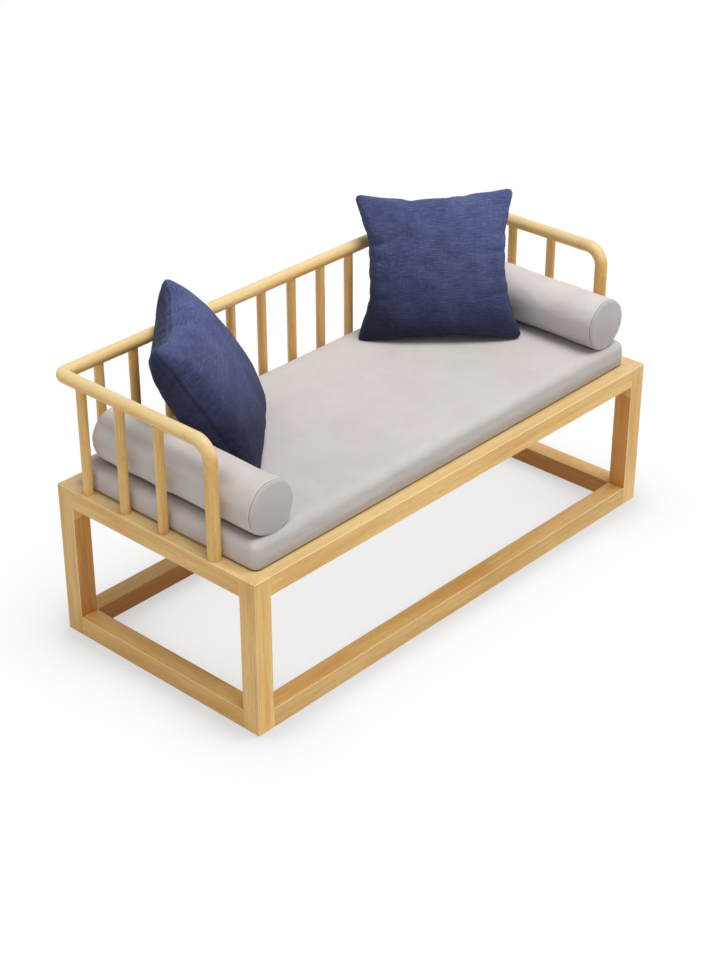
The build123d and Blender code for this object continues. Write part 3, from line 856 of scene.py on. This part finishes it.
# %% Mattress cover
def build_mattress():
    """Two panels with small corners, and a wall of eight rows that swells between them."""
    edge_zone = corner_radius * 1.05
    xs = spread(mattress_size[0] / 2, edge_zone, 7, 104)
    ys = spread(mattress_size[1] / 2, edge_zone, 7, 42)
    x, y, inset = rounded_panel(xs, ys, corner_radius)
    y = y + mattress_middle[1]
    y -= front_skew * np.clip(0.5 - x / mattress_size[0], 0, 1) * np.clip(0.5 - y / mattress_size[1], 0, 1)
    upper = np.stack([x, y, seat_surface(x, y) - quarter_round(inset, top_round)], -1)
    lower = np.stack([x, y, mattress_low[2] + quarter_round(inset, bottom_round)], -1)
    border = border_of(len(xs) - 1, len(ys) - 1)
    edge_top, edge_low = upper[border], lower[border]
    level = np.linspace(0, 1, 10)[1:-1, None, None]
    rim = edge_top[:, :2]
    along = rim - np.roll(rim, 1, 0) + np.roll(rim, -1, 0) - rim
    out = np.stack([along[:, 1], -along[:, 0], np.zeros(len(along))], -1)
    out /= np.linalg.norm(out, axis=1, keepdims=True)
    band = edge_top * (1 - level) + edge_low * level + out * wall_swell * np.sin(np.pi * level)
    return closed_skin("mattress_cover", upper, lower, band)


mattress = build_mattress()
print("mattress faces:", len(mattress.data.polygons))

# %% Stuff the mattress
# Long and short ripples of under a millimetre lie over the foam's top and fade out down its wall.
points = read_points(mattress)
ripple = slow_waves(points, 0.16, 3) * 0.0008 + slow_waves(points, 0.055, 5) * 0.0004
lift = np.clip((points[:, 2] - mattress_low[2] - 0.01) / 0.03, 0, 1)
flat = points[:, 2] < mattress_low[2] + bottom_round
points += np.stack([np.zeros(len(points)), -ripple * lift * 1.3, ripple * lift * 0.8], -1)
write_points(mattress, points)
inflate(mattress, 8, 1.5, 20.0, held=flat, cap=0.0025)

# The cover may swell only a little past the foam, and not through the deck or the railing.
end_swell = 0.0008
back_swell = 0.0015
points = read_points(mattress)
points[:, 2] = np.maximum(points[:, 2], mattress_low[2])
points[:, 0] = np.clip(points[:, 0], mattress_low[0] - end_swell, mattress_high[0] + end_swell)
points[:, 1] = np.minimum(points[:, 1], mattress_high[1] + back_swell)
write_points(mattress, points)
print("mattress from", points.min(0).round(4), "to", points.max(0).round(4))

# %% [markdown]
# ## Seams and painted shade of the mattress
# The cover is sewn round its foot and up its four corners, and those lines are darker. The band at its foot
# is also painted contact shade, where the cover meets the frame. Its wall, which turns away from the
# overhead light, gets painted shade, and so does the whole cover towards the left end.

# %% Mark the mattress
foot_shade_height = 0.011
corner_seam = 0.003
full_painted_shade = 0.45
# Painted contact shade where the cover meets the frame, with the seam at its foot, over the lowest 11 mm.
foot_seam_and_shade = np.clip(1 - (points[:, 2] - mattress_low[2]) / foot_shade_height, 0, 1)
off_side = np.abs(np.abs(points[:, 0]) - mattress_size[0] / 2 + corner_radius * 0.3)
off_front = np.abs(np.abs(points[:, 1] - mattress_middle[1]) - mattress_size[1] / 2 + corner_radius * 0.3)
off_corner = np.hypot(off_side, off_front)
wall = (points[:, 2] < mattress_top - top_round) & (points[:, 2] > mattress_low[2])
mark(mattress, "seam", np.maximum(foot_seam_and_shade, np.exp(-(off_corner / corner_seam) ** 2) * wall * 0.5))
# Painted shade: the wall below the top edge, and the cover towards the left end, but not its end walls.
wall_painted_shade = np.clip((mattress_top - 0.001 - points[:, 2]) / (top_round * 0.9), 0, 1)
left_painted_shade = 0.75 * np.clip((-points[:, 0] - 0.05) / 0.5, 0, 1)
off_end = np.clip((mattress_size[0] / 2 - np.abs(points[:, 0])) / corner_radius, 0, 1)
mark(mattress, "painted_shade", full_painted_shade * np.maximum(wall_painted_shade, left_painted_shade) * off_end)
mattress.data.materials.append(grey_cloth)
smooth_once(mattress)
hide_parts("seat_cushion")
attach(mattress, "seat_cushion")
print("points in the hem:", int((foot_seam_and_shade > 0).sum()))

# %% [markdown]
# ## Bolsters
# A bolster is a tube of cloth with a disc sewn in each end. The front disc is domed and its edge tight,
# with the seam as a fine groove just behind it and puckers running off along the tube. The back end is
# softer and rounder. Here the two discs are panels whose corner radius is half their width, so the
# concentric map makes them round. The tube is the band between them: a radius that depends on the
# distance along.

# %% Bolster sizes
bolster_length = bolster_high[1] - bolster_low[1]
front_round = 0.010
back_round = 0.026
cap_dome = 0.0075
seam_back = 0.0085
seam_depth = 0.0012
lip_height = 0.0006
pucker_count = 46
pucker_height = 0.0007
disc_cells = 24
tube_rows = 92
print("bolster length", round(bolster_length, 4))


# %% Tube and discs
def tube_radius(along_tube, angle):
    """Radius of the bolster at a distance from its front and an angle round it.

    A quarter round at each end, a groove and a lip at the front seam, and puckers that fade from it."""
    radius = bolster_radius - quarter_round(along_tube, front_round)
    radius -= quarter_round(bolster_length - along_tube, back_round)
    groove = np.exp(-((along_tube - seam_back) / 0.0016) ** 2) * seam_depth
    lip = np.exp(-((along_tube - seam_back - 0.005) / 0.003) ** 2) * lip_height
    away = np.clip(along_tube - seam_back, 0, None)
    fade = np.exp(-away / 0.020) * (1 - np.exp(-away / 0.004))
    wander = 0.9 * np.sin(3 * angle + 40 * along_tube) + 0.5 * np.sin(7 * angle)
    gather = np.sin(pucker_count * angle + wander) * (0.55 + 0.45 * np.sin(5 * angle + 1.0))
    return radius - groove + lip + fade * gather * pucker_height


def end_disc(radius, height, dome):
    """A round panel at a height, domed by a power of the distance from its rim."""
    lines = np.linspace(-radius, radius, disc_cells + 1)
    x, z, _ = rounded_panel(lines, lines, radius)
    rise = dome * (1 - (x ** 2 + z ** 2) / radius ** 2).clip(0) ** 1.5
    return np.stack([x, z, height + rise], -1)


def tube_distances():
    """Distances of the tube's rows from its front: close at both ends and at the front seam."""
    bend = 1 - np.cos(np.linspace(0, np.pi / 2, 9)[1:])
    seam_zone = np.linspace(seam_back - 0.0035, seam_back + 0.010, 15)
    front_rows = (front_round * bend)[front_round * bend < seam_zone[0] - 0.0004]
    back_rows = bolster_length - back_round * bend[::-1]
    middle = np.linspace(seam_zone[-1] + 0.004, back_rows[0] - 0.004, tube_rows)
    return np.concatenate([front_rows, seam_zone, middle, back_rows])


def stand_bolster(name):
    """A bolster's skin standing up, with its length along Z and its front on top."""
    upper = end_disc(bolster_radius - front_round, bolster_length / 2, cap_dome)
    lower = end_disc(bolster_radius - back_round, -bolster_length / 2, -cap_dome * 0.6)
    rim = upper[border_of(disc_cells, disc_cells)]
    angle = np.arctan2(rim[:, 1], rim[:, 0])
    distance = tube_distances()[:, None]
    reach = tube_radius(distance, angle[None, :])
    height = np.broadcast_to(bolster_length / 2 - distance, reach.shape)
    band = np.stack([reach * np.cos(angle), reach * np.sin(angle), height], -1)
    return closed_skin(name, upper, lower, band)


print("rows along a tube:", len(tube_distances()))


# %% Painted light and the rest of a bolster
def painted_tube_light(side, up, to_left, from_front):
    """The painted light and shade round a tube, from how far its surface looks up and whether it looks
    left.

    The left bolster gets a painted shadow of the side rail along its outer shoulder, behind the front post.
    The right one gets a painted highlight on top, and painted shade underneath."""
    if side == "left":
        shoulder = np.exp(-((np.degrees(np.arcsin(up.clip(-1, 1))) - 48) / 20) ** 2) * to_left
        return shoulder * np.clip((from_front - 0.07) / 0.06, 0, 1)
    looks_up = [-0.6, -0.3, -0.05, 0.16, 0.5, 0.8, 1.0]
    return np.interp(up, looks_up, [0.5, 0.2, 0.0, 0.0, -0.38, -0.45, -0.35])


def settle_on_seat(points, centre):
    """Flatten the underside where it lies on the mattress, and spread the cloth sideways there."""
    floor_there = seat_surface(points[:, 0], points[:, 1]) + clearance
    depth = np.clip(floor_there - points[:, 2], 0, None)
    low_share = np.clip((centre[2] - points[:, 2]) / bolster_radius, 0, 1)
    points[:, 2] += depth
    points[:, 0] += np.sign(points[:, 0] - centre[0]) * low_share ** 2 * 0.0015
    points[:, 2] = np.maximum(points[:, 2], floor_there)
    return points


print("nap on top of the right bolster:", painted_tube_light("right", np.ones(1), False, 0.0))


# %% Bolster cover
def build_bolster(name, side, turn, seed):
    """Two domed discs and the tube between them, turned about its axis and laid along Y."""
    piece = stand_bolster(name)
    points = read_points(piece)
    from_front = bolster_length / 2 - points[:, 2]
    out = np.hypot(points[:, 0], points[:, 1])
    front_seam = np.exp(-((from_front - seam_back) / 0.0013) ** 2) * (out > bolster_radius - front_round)
    back_seam = (from_front > bolster_length - 0.003) & (np.abs(out - bolster_radius + back_round) < 0.002)
    mark(piece, "seam", np.maximum(front_seam, back_seam))
    inflate(piece, 6, 3.0, 2.0, held=out < bolster_radius * 0.2, cap=0.002)
    points = read_points(piece)

    # Turned about its axis, so that the two bolsters differ, with a slow swell and a finer one.
    spin = np.array([[math.cos(turn), -math.sin(turn), 0], [math.sin(turn), math.cos(turn), 0], [0, 0, 1]])
    points = points @ spin.T
    swell = slow_waves(points * (1, 1, 0.7), 0.09, seed) * 0.0016
    swell += slow_waves(points * (2, 2, 1), 0.05, seed + 1) * 0.0005
    outward = points * (1, 1, 0)
    outward /= np.maximum(np.linalg.norm(outward, axis=1, keepdims=True), 1e-6)
    points += outward * swell[:, None]

    # Standing to lying: its top becomes its front, which faces -Y.
    low, high = corners("bolster_" + side)
    centre = (low + high) / 2
    laid = np.stack([points[:, 0], -points[:, 2], points[:, 1]], -1) + centre - (0, 0, bolster_sinks[side])
    write_points(piece, settle_on_seat(laid, centre))
    # Painted shade on the end discs, darker than the tube, and the painted light and shade round the tube.
    on_disc = np.clip(1 - (np.minimum(from_front, bolster_length - from_front) - 0.004) / 0.006, 0, 1)
    up = points[:, 1] / np.maximum(np.hypot(points[:, 0], points[:, 1]), 1e-6)
    tube_painted_light = painted_tube_light(side, up, points[:, 0] < 0, from_front)
    mark(piece, "painted_shade", full_painted_shade * on_disc + (1 - on_disc) * tube_painted_light)
    return piece


for side, turn, seed in (("left", 2.4, 11), ("right", 5.1, 23)):
    node = "bolster_" + side
    bolster = build_bolster(node + "_cover", side, turn, seed)
    bolster.data.materials.append(grey_cloth)
    smooth_once(bolster)
    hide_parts(node)
    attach(bolster, node)
    print(bolster.name, "faces:", len(bolster.data.polygons))

# %% [markdown]
# ## Pillows
# A scatter pillow is two square panels sewn edge to edge and stuffed. Blown up, the panels cannot
# stretch, so the sides pull in between the corners and the cloth puckers along the seams. That is what
# the simulation is for. The cover starts as a flat lens, cut square with its corners rounded, as such
# covers are cut, so that the corners do not end up as long ears. The side seams are then drawn in at a
# few places, because a sewing machine gathers the cloth unevenly.

# %% Flat cover
pillow_cut = 0.45
pillow_half = pillow_cut / 2
pillow_cells = 84
pillow_corner = 0.018


def flat_cover(name, seed):
    """A nearly flat closed cover: two squares with rounded corners, parted by a thin cosine lens."""
    lines = np.linspace(-pillow_half, pillow_half, pillow_cells + 1)
    x, y, inset = rounded_panel(lines, lines, pillow_corner)
    bulge = np.cos(x / pillow_half * np.pi / 2).clip(0) * np.cos(y / pillow_half * np.pi / 2).clip(0)
    lens = 0.03 * bulge ** 0.6 * (inset > 1e-6)
    uneven = slow_waves(np.stack([x, y, x * 0], -1).reshape(-1, 3), 0.06, seed).reshape(x.shape)
    front = np.stack([x, y, lens * (1 + 0.12 * uneven)], -1)
    back = np.stack([x, y, -lens * (1 + 0.10 * np.roll(uneven, 9, 0))], -1)
    return closed_skin(name, front, back), inset


print("cover cut:", pillow_cut, "cells:", pillow_cells)

# %% Puckers
# Where each pillow's seams are drawn in: the left side is -1, the right side 1, then how far up.
side_puckers = {
    "left": [(-1, 0.120)],
    "right": [(-1, 0.072), (-1, 0.024), (-1, -0.036), (-1, -0.088), (1, 0.095), (1, 0.040), (1, -0.030),
              (1, -0.080)],
}
# Least and greatest width of a pucker, reach on the face, notch in the seam and depth of its valley.
pucker_least = (0.008, 0.045, 0.0015, 0.0030)
pucker_most = (0.013, 0.080, 0.0038, 0.0062)


def draw_in(points, half_width, places, seed):
    """Draw the side seams in at a few places, with a soft valley from each that dies out on the face.

    Notch of the seam = a bell across the place, with a quick fall away from the seam. Valley = the
    same bell, widening as it runs in, with a slow fall."""
    choose = np.random.default_rng(seed)
    moved = points.copy()
    edge = (half_width - np.abs(points[:, 0])).clip(0)
    for side, y in places:
        width, reach, notch, valley = choose.uniform(pucker_least, pucker_most)
        slope = choose.uniform(-0.3, 0.3)
        across = (points[:, 1] - y - slope * edge) / (width + 0.14 * edge)
        bell = np.exp(-across ** 2) * (points[:, 0] * side > 0)
        moved[:, 0] -= side * bell * np.exp(-(edge / 0.014) ** 2) * notch
        fall = np.exp(-(edge / reach) ** 1.5) * np.clip(np.abs(points[:, 2]) / 0.02, 0, 1)
        moved[:, 2] -= (points[:, 2] > 0) * bell * fall * valley
    return moved


print("puckers:", {side: len(places) for side, places in side_puckers.items()})


# %% Stuffed pillow
filling_frames = 17


def stuffed_pillow(name, side, seed):
    """Blow a flat cover up, pucker its side seams, and give it back lying flat."""
    piece, inset = flat_cover(name, seed)
    points = read_points(piece)
    on_seam = inset.reshape(-1) < 1e-6
    on_seam = np.concatenate([on_seam, np.zeros(len(points) - on_seam.size, bool)])
    inflate(piece, filling_frames, 4.0, 0.5)
    points = read_points(piece)
    half_width = np.abs(points[on_seam, 0]).mean()
    write_points(piece, draw_in(points, half_width, side_puckers[side], seed))
    mark(piece, "seam", on_seam * 0.85)
    return piece


print("frames to blow a pillow up:", filling_frames)

# %% [markdown]
# ## Leaning the pillows
# Each pillow stands on its lower corners and leans back over a bolster, turned towards the middle of
# the seat. Its four corners are given in the room, and the flat pillow is carried to them: its plan
# goes to the four-sided patch between the corners, and its thickness along the patch's normal. What
# would then pass into the back rail slides clear of it, and what would pass into the mattress or a
# bolster is pushed back out, as cloth would be.

# %% Corner places
pillow_corners = {
    "left": np.array([[-0.5149, -0.1171, 0.503], [-0.1937, 0.1873, 0.500],
                      [-0.6481, 0.0655, 0.835], [-0.3564, 0.3448, 0.835]]),
    "right": np.array([[0.2225, 0.2296, 0.496], [0.5237, -0.0847, 0.502],
                       [0.3225, 0.3315, 0.854], [0.6320, 0.0475, 0.853]]),
}
# For each pillow: thickness in front of the seam and behind it, how square each side's section is
# (1 as blown up, less is fuller), how much fuller the top is than the bottom, and how far the left,
# right, bottom and top seams bow outwards, as a share of half the width. The plump gives a place
# along the top seam where the filling pushes it up: how far, where and how wide.
pillow_shapes = {
    "left": {"front": (0.066, 0.88, 0.10), "back": (0.085, 0.62, 0.0),
             "bows": (0.069, 0.088, 0.001, -0.113), "plump": (0.0, 0.0, 0.4)},
    "right": {"front": (0.068, 0.68, 0.0), "back": (0.062, 1.0, 0.0),
              "bows": (-0.06, -0.041, 0.045, -0.017), "plump": (0.068, 0.25, 0.72)},
}
print("lengths of the lower seams:", {side: round(float(np.linalg.norm(places[1] - places[0])), 3)
                                      for side, places in pillow_corners.items()})


# %% Carry a pillow to its corners
def near(place):
    """A share that is 0 at the far seam and 1 at the near one, rising as a square."""
    return ((1 + place) / 2).clip(0, 1) ** 2


def carry_to_corners(points, places, shape):
    """Carry a flat pillow to four corners: low left, low right, high left, high right.

    The plan is measured from tip to tip, u and v from -1 to 1, and bowed by a parabola along each
    seam that fades across the face. The point is then the mean of the corners weighted by
    (1 +- u)(1 +- v), plus its height along the normal, raised to a power to make it fuller."""
    tips = [points[np.argmax(points[:, 0] * across + points[:, 1] * up)]
            for across, up in ((-1, -1), (1, -1), (-1, 1), (1, 1))]
    tips = np.abs(np.array(tips)).mean(0)
    u, v = points[:, 0] / tips[0], points[:, 1] / tips[1]
    left, right, bottom, top = shape["bows"]
    level, upright = (1 - v ** 2).clip(0), (1 - u ** 2).clip(0)
    bowed_u = u - left * level * near(-u) + right * level * near(u)
    bowed_v = v - bottom * upright * near(-v) + top * upright * near(v)
    amount, place, width = shape["plump"]
    bowed_v += amount * np.exp(-((u - place) / width) ** 2) * near(v) ** 2
    weights = np.stack([(1 - bowed_u) * (1 - bowed_v), (1 + bowed_u) * (1 - bowed_v),
                        (1 - bowed_u) * (1 + bowed_v), (1 + bowed_u) * (1 + bowed_v)], -1) / 4
    normal = np.cross(places[1] - places[0], places[2] - places[0])
    normal /= np.linalg.norm(normal)
    thick = np.zeros(len(points))
    for sign, (depth, power, fuller_top) in ((1, shape["front"]), (-1, shape["back"])):
        share = (points[:, 2] * sign / (points[:, 2] * sign).max()).clip(0)
        thick += sign * share ** power * depth * (1 + fuller_top * v)
    return weights @ places + thick[:, None] * normal


print("a share half way:", near(0 * np.ones(1)))

# %% Clear of the rail
rail_slide = np.array([-0.642, -0.581, 0.5])  # outwards, forwards and up, over one unit of length
rail_gap = 0.002


def rail_limit(z):
    """How far back a pillow may reach at a height, for the round back rail.

    Up to its front below its axis, round its front above that, then up a slope of 45 degrees, which
    touches the round where its normal leans by as much."""
    need = rail_radius + rail_gap
    rise = z - rail_axis_z
    round_front = -np.sqrt((need ** 2 - rise.clip(0, need) ** 2).clip(0))
    slope = rise - need * math.sqrt(2)
    return rail_axis_y + np.where(rise < need / math.sqrt(2), round_front, slope)


def clear_of_rail(points):
    """Slide what would pass into the back rail forwards, outwards and up, until it is clear.

    The two panels share one slide at each place of the grid, so they never cross, and the slide fades
    over the cells around."""
    shift = np.zeros(len(points))
    for _ in range(30):
        moved = points + shift[:, None] * rail_slide
        shift += 0.9 * (moved[:, 1] - rail_limit(moved[:, 2])).clip(0)
    side_count = pillow_cells + 1
    inner = np.ones((side_count, side_count), bool)
    inner[border_of(pillow_cells, pillow_cells)] = False
    front = shift[:side_count ** 2].reshape(side_count, side_count)
    back = front.copy()
    back[inner] = shift[side_count ** 2:]
    least = np.maximum(front, back)
    shared = least
    for _ in range(60):
        padded = np.pad(shared, 1, mode="edge")
        shared = (padded[:-2, 1:-1] + padded[2:, 1:-1] + padded[1:-1, :-2] + padded[1:-1, 2:]) / 4
        shared = np.maximum(least, shared)
    print("slid clear of the rail by up to", round(float(shared.max()) * 1000, 1), "mm")
    return points + np.concatenate([shared.ravel(), shared[inner]])[:, None] * rail_slide


print("limit at the rail's axis:", round(float(rail_limit(np.array(rail_axis_z))), 4))

# %% Clear of the bolsters and the mattress
bolster_gap = 0.003
seat_gap = 0.001


def push_out(points):
    """Move points out of the mattress and the bolsters."""
    for x in (-bolster_x, bolster_x):
        off = points[:, [0, 2]] - (x, bolster_z)
        distance = np.linalg.norm(off, axis=1)
        need = bolster_radius + bolster_gap
        beside = (points[:, 1] < bolster_high[1] + 0.002) & (points[:, 1] > bolster_low[1] - 0.002)
        share = np.where(beside & (distance < need), need / np.maximum(distance, 1e-6), 1)
        points[:, [0, 2]] = off * share[:, None] + (x, bolster_z)
    points[:, 2] = np.maximum(points[:, 2], seat_surface(points[:, 0], points[:, 1]) + seat_gap)
    return points


print("kept off a bolster's axis by", round(bolster_radius + bolster_gap, 4))

# %% Painted shade of the linen
# Painted shade from the foot of a pillow, 0, to its top, 1: full at the foot and none at the top, which is
# the brightest.
painted_shade_by_rise = ([0, 0.1, 0.19, 0.32, 0.46, 0.59, 0.72, 0.85, 0.94],
            [1, 0.97, 0.81, 0.55, 0.37, 0.2, 0.14, 0.05, 0])
# Painted shade that the left pillow adds from its left seam, 0, to the right one, 2.
left_pillow_painted_shade = ([0, 0.35, 0.6, 0.9], [0.15, 0.20, 0.14, 0])


def painted_shade_of(lying, side):
    """Painted shade of the linen: more towards the foot, the left seam and the back, less towards the right
    seam.
    """
    half = np.abs(lying[:, :2]).max(0)
    rise = lying[:, 1] / half[1] / 2 + 0.5
    side_way = lying[:, 0] / half[0]
    painted_shade = np.interp(rise, *painted_shade_by_rise)
    painted_shade += 0.6 * np.exp(-(side_way + 1) / 0.2) - 0.1 * side_way.clip(0)
    if side == "left":
        painted_shade += np.interp(side_way + 1, *left_pillow_painted_shade) * np.clip((1 - rise) / 0.2, 0, 1)
    behind = np.clip(-lying[:, 2] / 0.004, 0, 1)
    return np.clip(painted_shade * (1 - behind) + (0.92 - 0.06 * rise) * behind, 0, 1)


print("nap half way up:", round(float(np.interp(0.5, *painted_shade_by_rise)), 3))

# %% Place the pillows
for side, seed in (("left", 5), ("right", 8)):
    node = "pillow_" + side
    pillow = stuffed_pillow(node + "_cover", side, seed)
    lying = read_points(pillow)
    # Painted shade on the linen, stored on its points for the material.
    mark(pillow, "painted_shade", painted_shade_of(lying, side))
    placed = carry_to_corners(lying, pillow_corners[side], pillow_shapes[side])
    placed = clear_of_rail(placed)
    write_points(pillow, push_out(placed))
    pillow.data.materials.append(blue_linen)
    smooth_once(pillow)
    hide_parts(node)
    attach(pillow, node)
    print(pillow.name, "from", placed.min(0).round(3), "to", placed.max(0).round(3))

# %% [markdown]
# ## Floor and light
# The piece stands on a plain pale floor. To the camera the floor is mostly white, with a share of its
# real shading left in, so the object keeps a soft shadow. The white is also a little darker close to
# the object, where an Ambient Occlusion node finds that less of the sky is open. To every other ray the
# floor is a plain pale surface that throws some light back up. One broad distant lamp overhead gives
# the tops their light, as even over the floor as a ceiling of soft boxes, and a pale sky fills the
# rest, so that a colour renders about as it is written.


# %% What the eye sees
def seen_by_eye(tree):
    """1 for a ray from the camera, straight or by way of gloss or glass, and 0 for any other."""
    path = put(tree, "ShaderNodeLightPath").outputs
    return maths(tree, "MAXIMUM", path["Is Camera Ray"],
                 maths(tree, "MAXIMUM", path["Is Glossy Ray"], path["Is Transmission Ray"]))


def mix_shaders(tree, share, first, second):
    return put(tree, "ShaderNodeMixShader", None, _0=share, _1=first, _2=second).outputs[0]


print("ray mask ready")

# %% Floor
contact_reach = 0.25  # how far off a piece still darkens the floor
white_share = 0.82  # how much of the floor's look is plain white, the rest being real shading
floor_half = 30.0


def make_floor_material():
    """White with a soft contact shade to the eye, and plain pale matt to other rays."""
    material = bpy.data.materials.new("studio_floor")
    material.use_nodes = True
    tree = material.node_tree
    tree.nodes.clear()
    plain = put(tree, "ShaderNodeBsdfDiffuse", None, Color=(0.80, 0.80, 0.80, 1)).outputs[0]
    shaded = put(tree, "ShaderNodeBsdfDiffuse", None, Color=(0.93, 0.93, 0.93, 1)).outputs[0]
    open_sky = put(tree, "ShaderNodeAmbientOcclusion", {"samples": 8}, Distance=contact_reach).outputs["AO"]
    contact = ramp(tree, open_sky, 0.65, 0.98, 0.70, 1.0)
    white = put(tree, "ShaderNodeEmission", None, Color=(1, 1, 1, 1), Strength=contact).outputs[0]
    shown = mix_shaders(tree, white_share, shaded, white)
    put(tree, "ShaderNodeOutputMaterial", None, Surface=mix_shaders(tree, seen_by_eye(tree), plain, shown))
    return material


floor_mesh = bpy.data.meshes.new("studio_floor")
floor_corners = [(x * floor_half, y * floor_half, 0) for x, y in ((-1, -1), (1, -1), (1, 1), (-1, 1))]
floor_mesh.from_pydata(floor_corners, [], [(0, 1, 2, 3)])
floor = bpy.data.objects.new("studio_floor", floor_mesh)
floor_mesh.materials.append(make_floor_material())
bpy.context.scene.collection.objects.link(floor)
print("floor", 2 * floor_half, "m across")

# %% World and lamp
sky_strength = 0.38
lamp_away = (0.10, -0.24, 1.0)  # where the lamp's light comes from
lamp_strength = 2.36
lamp_width = math.radians(36)


def make_world():
    """A pale sky that lights the object and is white to the eye."""
    world = bpy.data.worlds.new("studio")
    world.use_nodes = True
    tree = world.node_tree
    tree.nodes.clear()
    sky = put(tree, "ShaderNodeBackground", None, Color=(0.97, 0.98, 1.0, 1), Strength=sky_strength)
    white = put(tree, "ShaderNodeBackground", None, Color=(1, 1, 1, 1), Strength=1.0)
    both = mix_shaders(tree, seen_by_eye(tree), sky.outputs[0], white.outputs[0])
    put(tree, "ShaderNodeOutputWorld", None, Surface=both)
    return world


def add_distant_lamp(name, away, strength, width):
    """A lamp so far off that its light is even over the floor."""
    lamp_data = bpy.data.lights.new(name, "SUN")
    lamp_data.energy = strength
    lamp_data.angle = width
    lamp = bpy.data.objects.new(name, lamp_data)
    turn = math.atan2(away[0], -away[1])
    tilt = math.atan2(math.hypot(away[0], away[1]), away[2])
    lamp.rotation_euler = (tilt, 0, turn)
    bpy.context.scene.collection.objects.link(lamp)
    return lamp


bpy.context.scene.world = make_world()
overhead_lamp = add_distant_lamp("overhead_lamp", lamp_away, lamp_strength, lamp_width)
print("lamp:", overhead_lamp.name)

# %% [markdown]
# ## Finish
# The standard view shows colours as they are written.

# %% Finish
bpy.context.scene.view_settings.view_transform = "Standard"
